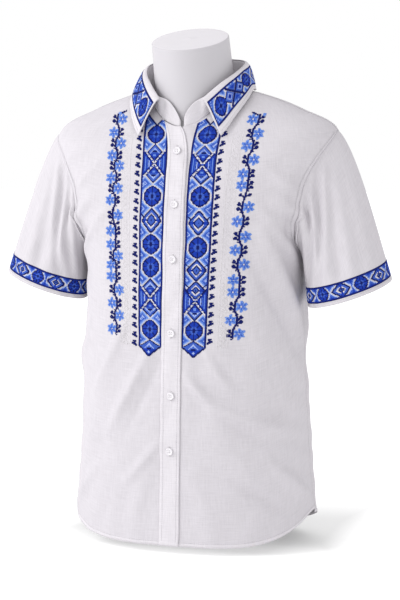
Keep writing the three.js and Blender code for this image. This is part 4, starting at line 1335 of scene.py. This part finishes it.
def collar_embroidery():
    """Rosettes, lozenges and crossed lozenges round the leaf, mirrored at the centre back."""
    base, out = collar_grid(361)
    grid = base + out * (CLOTH + OFF_CLOTH)
    cols = int(round(walked(grid[COLLAR_MEASURED_ROW], 0)[-1] / CELL / 2)) * 2
    placed = columns_at(grid, COLLAR_MEASURED_ROW, cols + 1)
    tall = walked(placed, 0)[-1]
    wanted = mix(COLLAR_MARGIN, 1 - COLLAR_MARGIN, np.linspace(0, 1, COLLAR_ROWS + 1))[:, None] * tall[None, :]
    corners = rows_at(placed, wanted)
    u, along = cell_middles(COLLAR_ROWS, cols)
    v = np.minimum(along, cols * CELL - along)
    colours = np.zeros(v.shape, int)
    collar_motifs(colours, u, v)
    edge_lines(colours, u, COLLAR_ROWS * CELL / 2)
    paint(colours, v < COLLAR_FRONT_MARGIN + CELL, NAVY)
    paint(colours, v < COLLAR_FRONT_MARGIN, 0)
    cross_stitch("collar_band_stitches", corners, colours, np.array([0, NECK_AXIS_Y, 700]), leaf)


collar_embroidery()


# ---- Topstitching ----
STITCH_LONG, STITCH_PITCH, STITCH_WIDE, STITCH_HIGH = 2.3, 3.1, 0.6, 0.3
PLACKET_STITCH = 5  # in from the strip's edges
HEM_STITCH_LEVEL = HEM_LEVEL - 0.01
FELL_STITCH = FELL_WIDE - 1.6
CUFF_STITCH = CUFF_HEM - 2.2
COLLAR_STITCH = 5


def topstitch(name, line, up, on):
    """Short stitches at an even pitch along a line; each ends a little before the next begins."""
    length = walked(line, 0)
    starts = np.arange(0.5, length[-1] - STITCH_LONG, STITCH_PITCH)
    at = lambda values, where: np.stack([np.interp(where, length, values[:, i]) for i in range(3)], -1)
    first, last, normal = at(line, starts), at(line, starts + STITCH_LONG), unit(at(up, starts))
    # In the darkened seam thread, which paints the shade of the needle holes
    bars(name, first, last, normal, STITCH_WIDE, STITCH_HIGH, SHADE_STITCH_THREAD, on)


def body_stitch(name, angle, level, lift, on):
    """Topstitching along a line of angles and levels on the body."""
    angle, level = np.broadcast_arrays(np.asarray(angle, float), np.asarray(level, float))
    topstitch(name, body_point(angle, level, lift), body_normal(angle, level), on)


for side, side_name in ((-1, "right"), (1, "left")):
    stitch_x = side * (PLACKET_WIDTH / 2 - PLACKET_STITCH) - 0.85 * spread(PLACKET_LEVELS)
    stitch_angles = angle_at_x(stitch_x, PLACKET_LEVELS)
    body_stitch("placket_stitch_" + side_name, stitch_angles, PLACKET_LEVELS, LAYER + CLOTH, placket)
hem_angles = np.linspace(-89, 89, 301)
for side_name, degrees, piece in (("front_left", hem_angles[hem_angles > 6], front_left),
                                  ("front_right", hem_angles[hem_angles < -6], front_right),
                                  ("back", hem_angles + 180, back)):
    body_stitch("hem_stitch_" + side_name, rad(degrees), HEM_STITCH_LEVEL, CLOTH + HEM_RAISE, piece)
BELOW_TIP = ALL_LEVELS[(ALL_LEVELS > UNDERARM + 0.03) & (ALL_LEVELS < TIP)]
ABOVE_TIP = ALL_LEVELS[(ALL_LEVELS > TIP + 0.05) & (ALL_LEVELS < NECK - 0.1)]
BESIDE_BACK, BESIDE_YOKE = BELOW_TIP[BELOW_TIP < YOKE_LEVEL - 0.03], BELOW_TIP[BELOW_TIP > YOKE_LEVEL + 0.03]


def in_from(angle, level, mm):
    """The angle a length further on round the body, which is about four fifths of its half width away there."""
    return angle + mm / between_rows(RINGS, level)[..., HALF] * 1.25


for side, front in ((1, front_left), (-1, front_right)):
    side_name = "left" if side > 0 else "right"
    for seam_name, edge, levels, inward, piece in (
            ("armhole_stitch_front_", front_outer_edge, BELOW_TIP, -FELL_STITCH, front),
            ("armhole_stitch_back_", back_edge, BESIDE_BACK, FELL_STITCH, back),
            ("armhole_stitch_yoke_", yoke_edge, BESIDE_YOKE, FELL_STITCH, yoke),
            ("shoulder_stitch_", yoke_edge, ABOVE_TIP, FELL_STITCH, yoke)):
        stitch_angles = side * in_from(edge(levels), levels, inward)
        body_stitch(seam_name + side_name, stitch_angles, levels, CLOTH + FELL_RAISE, piece)
body_stitch("yoke_stitch", rad(np.linspace(112, 248, 200)), YOKE_LEVEL + 0.09, CLOTH + FELL_RAISE, yoke)


def cuff_stitch(name, sleeve_name, side, on):
    """A ring of stitches between the cuff's edge and its band."""
    grid = sleeve_face(sleeve_name, side, HEM_RAISE * 0.7)[:6]
    up = grid - grid.reshape(-1, 3).mean(0)
    line = rows_at(grid, np.full((1, grid.shape[1]), CUFF_STITCH))[0]
    topstitch(name, line, unit(up[0]), on)


cuff_stitch("cuff_stitch_left", "sleeve_left", 1, sleeve_left)
cuff_stitch("cuff_stitch_right", "sleeve_right", -1, sleeve_right)


def collar_stitch():
    """A row of stitches along the leaf's outer edge."""
    base, out = collar_grid(361)
    placed = columns_at(base + out * CLOTH, 24, 321)
    line = rows_at(placed, (walked(placed, 0)[-1] - COLLAR_STITCH)[None, :])[0]
    up = columns_at(out, 24, 321)[-2]
    topstitch("collar_stitch", line[2:-2], up[2:-2], leaf)


collar_stitch()


# ---- The torso form ----
FORM_SIDES = np.linspace(0, 2 * np.pi, 129)[:-1]


def form_ring(ring):
    """One ring of the torso form at all its sides."""
    return on_ring(np.broadcast_to(ring, (len(FORM_SIDES), 7)), FORM_SIDES)


def torso_form():
    """A smooth shell of rings: a column with a slight waist, shoulders just under the cloth, a tilted neck."""
    rings = [form_ring(between_rows(FORM_RINGS, place)) for place in np.append(0, np.linspace(1, 7, 49))]
    for level, inset, trim in between_rows(FORM_SHOULDERS, np.linspace(0, len(FORM_SHOULDERS) - 1, 46)):
        narrowed = between_rows(RINGS, level) - np.array([0, trim, 0, 0, 0, 0, 0])
        rings.append(form_ring(narrowed) - body_normal(FORM_SIDES, np.full(FORM_SIDES.shape, level)) * inset)
    x, y = NECK_HALF * np.sin(FORM_SIDES), -NECK_DEEP * np.cos(FORM_SIDES)
    top = np.stack([x, y, y * math.tan(rad(NECK_FORWARD))], -1) + NECK_CENTRE
    for share in np.linspace(0, 0.975, 28):
        rings.append(mix(form_ring(NECK_BASE), top, share))
    for turn in np.linspace(0, 90, 7)[1:]:
        edge = mix(top, NECK_CENTRE, NECK_EDGE_IN * (1 - math.cos(rad(turn))))
        rings.append(edge - [0, 0, NECK_EDGE_DOWN * (1 - math.sin(rad(turn)))])
    for share in (0.3, 0.6, 0.9):
        rings.append(mix(rings[-1], NECK_CENTRE, share) + [0, 0, 0.4])
    grid, cols = np.stack(rings), len(FORM_SIDES)
    # The rim's last rings and the top's fan take the lighter paint: painted light and a painted highlight
    lit_top_kinds = np.zeros((len(grid) + 1) * cols, int)
    lit_top_kinds[(len(grid) - 6) * cols:(len(grid) - 1) * cols] = 1
    lit_top_kinds[-cols:] = 1
    top_middle = NECK_CENTRE + [0, 0, 1]
    form = closed_rings("torso_form_shell", grid, [0, 0, 0], top_middle, [FORM_PAINT, LIT_NECK_TOP_PAINT], lit_top_kinds)
    stand_for(form, "torso_form")


torso_form()


# ---- Buttons ----
def level_at_height(z):
    """The level of the front's middle at a height, found by halving."""
    low, high = float(HEM), float(NECK)
    for _ in range(40):
        middle = (low + high) / 2
        low, high = (middle, high) if smooth_body(0.0, middle)[2] < z else (low, middle)
    return (low + high) / 2


BUTTON_RINGS = np.array([
    0.99, 0.96, 0.92, 0.86, 0.8, 0.74, 0.68, 0.62, 0.54, 0.47, 0.41, 0.36, 0.31, 0.26, 0.21, 0.15, 0.08])
RIM_AT, RIM_WIDE, RIM_ROUND, MIDDLE_HIGH = 0.84, 0.13, 0.17, 0.66  # shares of the radius, and of the thickness
HOLE_PLACE, HOLE_RADIUS, HOLE_DEEP = 1.55, 0.62, 1.5
BUTTONHOLE_LONG, BUTTONHOLE_PITCH = 15, 0.55
BUTTONHOLE_SLIT, BUTTONHOLE_REACH = 0.25, 1.5  # from the middle to a lip's two edges


def buttonhole(number, z, u):
    """Satin stitches across both lips of an upright slit, at an even pitch, and one across each end."""
    heights = np.arange(-BUTTONHOLE_LONG / 2, BUTTONHOLE_LONG / 2 + 0.01, BUTTONHOLE_PITCH)
    levels = np.interp(heights, [-9, 9], [level_at_height(z - 9), level_at_height(z + 9)])
    angles = angle_at_x(-spread(levels), levels)
    middles, normals = body_point(angles, levels, LAYER + CLOTH), body_normal(angles, levels)
    tacks = middles[[0, -1]] + np.array([[-0.6], [0.6]]) * [0, 0, 1]
    slit, reach = u * BUTTONHOLE_SLIT, u * BUTTONHOLE_REACH
    starts = np.concatenate([middles - reach, middles + slit, tacks - reach])
    ends = np.concatenate([middles - slit, middles + reach, tacks + reach])
    up = np.concatenate([normals, normals, normals[[0, -1]]])
    bars(f"buttonhole_{number}", starts, ends, up, 0.5, 0.3, WHITE, placket)


def button(number, z):
    """A turned disc with a raised rim: a profile of the radius, less a bell-shaped pit at each hole."""
    level = level_at_height(z)
    angle = float(angle_at_x(-spread(level), level))
    n = body_normal(angle, level)
    u = unit(smooth_body(angle + 0.01, level) - smooth_body(angle - 0.01, level))
    v = np.cross(n, u)
    centre = body_point(np.array(angle), np.array(level), 2 * LAYER + GAP)
    place = lambda p: centre + p[..., :1] * u + p[..., 1:2] * v + p[..., 2:] * n
    r, h = BUTTON_RADIUS, BUTTON_THICKNESS
    turn = np.linspace(0, 2 * np.pi, 41)[:-1]
    reach = BUTTON_RINGS * r
    x, y = np.outer(reach, np.cos(turn)), np.outer(reach, np.sin(turn))
    rim = np.exp(-(((reach - RIM_AT * r) / (RIM_WIDE * r)) ** 2))
    shoulder = np.sqrt(np.clip(1 - ((reach - RIM_AT * r) / (RIM_ROUND * r)) ** 2, 0, 1))
    high = h * (MIDDLE_HIGH + (1 - MIDDLE_HIGH) * rim) * np.where(reach > RIM_AT * r, shoulder, 1)
    top = np.broadcast_to(np.maximum(high, 0.5 * h)[:, None], x.shape).copy()
    for hx, hy in ((1, 1), (1, -1), (-1, 1), (-1, -1)):
        away = np.hypot(x - hx * HOLE_PLACE, y - hy * HOLE_PLACE)
        top -= HOLE_DEEP * np.exp(-((away / HOLE_RADIUS) ** 4))
    under = [np.stack([a * np.cos(turn), a * np.sin(turn), np.full(turn.shape, b)], -1)
             for a, b in ((0.8 * r, 0), (0.96 * r, 0.25 * h), (r, 0.5 * h))]
    grid = np.concatenate([np.stack(under), np.stack([x, y, top], -1)])
    middle = place(np.array([[0, 0, 0], [0, 0, MIDDLE_HIGH * h]]))
    disc = closed_rings(f"button_{number}_turned", place(grid), middle[0], middle[1], BUTTON)
    stand_for(disc, f"button_{number}")
    ends = np.array([[-1, -1], [1, -1], [1, 1], [-1, 1]]) * HOLE_PLACE * 0.72
    ends = centre + ends[:, :1] * u + ends[:, 1:] * v + 0.62 * h * n
    bars(f"button_{number}_thread", ends[:2], ends[2:], np.stack([n, n]), 0.7, 0.35, WHITE, disc)
    buttonhole(number, z, u)


for number, height in enumerate(BUTTON_HEIGHTS, 1):
    button(number, height)

# ---- Floor, light and camera ----
GLOW_FROM, GLOW_TO = -1, 2
FLOOR_GLOW = [  # metres behind the middle, and how strongly the floor glows there: painted light, strongest in front of the hem, where it takes away the contact shadow, and weakest just behind it, where a soft shadow is left
    (-1, 0.5), (-0.2, 0.8), (-0.15, 0.78), (-0.12, 0.7), (-0.08, 0.5), (0.02, 0.25), (0.16, 0.24),
    (0.45, 0.5), (2, 0.6),
]
FLOOR_BESIDE = {"From Min": 0.17, "From Max": 0.32, "To Min": 0.15, "To Max": 0.7}  # the painted glow by metres to the side, which ends the shadow beside the shirt
FLOOR_HALF, FLOOR_DOWN = 30000, -1


def floor_material():
    """A pale floor that glows though it is no lamp, as painted light: by the larger of a curve of the depth and
    a smooth step to the side.
    """
    material, shader = surface("floor", (0.6, 0.6, 0.6), 0.9, Emission_Strength=1)
    link = material.node_tree.links.new
    place = node(material, "ShaderNodeTexCoord")
    apart = node(material, "ShaderNodeSeparateXYZ")
    span = node(material, "ShaderNodeMapRange")
    span.inputs["From Min"].default_value = GLOW_FROM
    span.inputs["From Max"].default_value = GLOW_TO
    glow = node(material, "ShaderNodeValToRGB")
    glow.color_ramp.interpolation = "EASE"
    for at, strength in FLOOR_GLOW[1:-1]:
        share = (at - GLOW_FROM) / (GLOW_TO - GLOW_FROM)
        glow.color_ramp.elements.new(share).color = (strength, strength, strength, 1)
    for i in (0, -1):
        glow.color_ramp.elements[i].color = (FLOOR_GLOW[i][1],) * 3 + (1,)
    link(place.outputs["Object"], apart.inputs["Vector"])
    link(apart.outputs["Y"], span.inputs["Value"])
    link(span.outputs["Result"], glow.inputs["Fac"])
    to_side = node(material, "ShaderNodeMath", operation="ABSOLUTE")
    beside = node(material, "ShaderNodeMapRange", interpolation_type="SMOOTHSTEP", **FLOOR_BESIDE)
    most = node(material, "ShaderNodeMath", operation="MAXIMUM")
    link(apart.outputs["X"], to_side.inputs[0])
    link(to_side.outputs[0], beside.inputs["Value"])
    link(beside.outputs["Result"], most.inputs[0])
    link(glow.outputs["Color"], most.inputs[1])
    link(most.outputs[0], shader.inputs["Emission Strength"])
    shader.inputs["Emission Color"].default_value = (1, 1, 1, 1)
    return material


floor_corners = [[x * FLOOR_HALF, y * FLOOR_HALF, FLOOR_DOWN] for x, y in ((-1, -1), (1, -1), (1, 1), (-1, 1))]
floor = put_mesh("floor", floor_corners, [[0, 1, 2, 3]], material=floor_material(), smooth=False)

scene = bpy.context.scene
scene.view_settings.view_transform = "Standard"
scene.view_settings.look = "None"
scene.world = scene.world or bpy.data.worlds.new("studio")
scene.world.use_nodes = True
world_nodes = scene.world.node_tree.nodes
backdrop = world_nodes.get("Background") or world_nodes.new("ShaderNodeBackground")
backdrop.inputs["Color"].default_value = (1, 1, 1, 1)
backdrop.inputs["Strength"].default_value = 1.0

TARGET = np.array([7, 0, 394]) * MM
AZIMUTH, ELEVATION, DISTANCE = rad(18), rad(5), 2.6
FIELD_HEIGHT = 0.9901  # metres across the picture's height at the target
LEVEL_AIM = math.cos(ELEVATION)
AIM = np.array([math.sin(AZIMUTH) * LEVEL_AIM, -math.cos(AZIMUTH) * LEVEL_AIM, math.sin(ELEVATION)])
SENSOR = 24
LAMP_AIM = Vector((0, 0, 0.4))


def look(obj, place, direction):
    """Puts a lamp or the camera at a place, turned to look along a direction."""
    obj.location = place
    obj.rotation_mode = "QUATERNION"
    obj.rotation_quaternion = Vector(direction).to_track_quat("-Z", "Y")
    scene.collection.objects.link(obj)


def lamp(name, place, size, power):
    """A soft square lamp that shines on the shirt's middle."""
    light = bpy.data.lights.new(name, "AREA")
    light.shape = "SQUARE"
    light.size = size
    light.energy = power
    obj = bpy.data.objects.new(name, light)
    look(obj, place, LAMP_AIM - Vector(place))


lamp("key_light", (-2.6, -1.7, 2.2), 2.0, 90)
lamp("fill_light", (2.0, -1.3, 2.2), 1.6, 9)

camera_data = bpy.data.cameras.new("camera")
camera_data.sensor_fit = "VERTICAL"
camera_data.sensor_height = SENSOR
camera_data.sensor_width = SENSOR
camera_data.lens = SENSOR * DISTANCE / FIELD_HEIGHT
camera = bpy.data.objects.new("camera", camera_data)
look(camera, TARGET + AIM * DISTANCE, -AIM)
scene.camera = camera
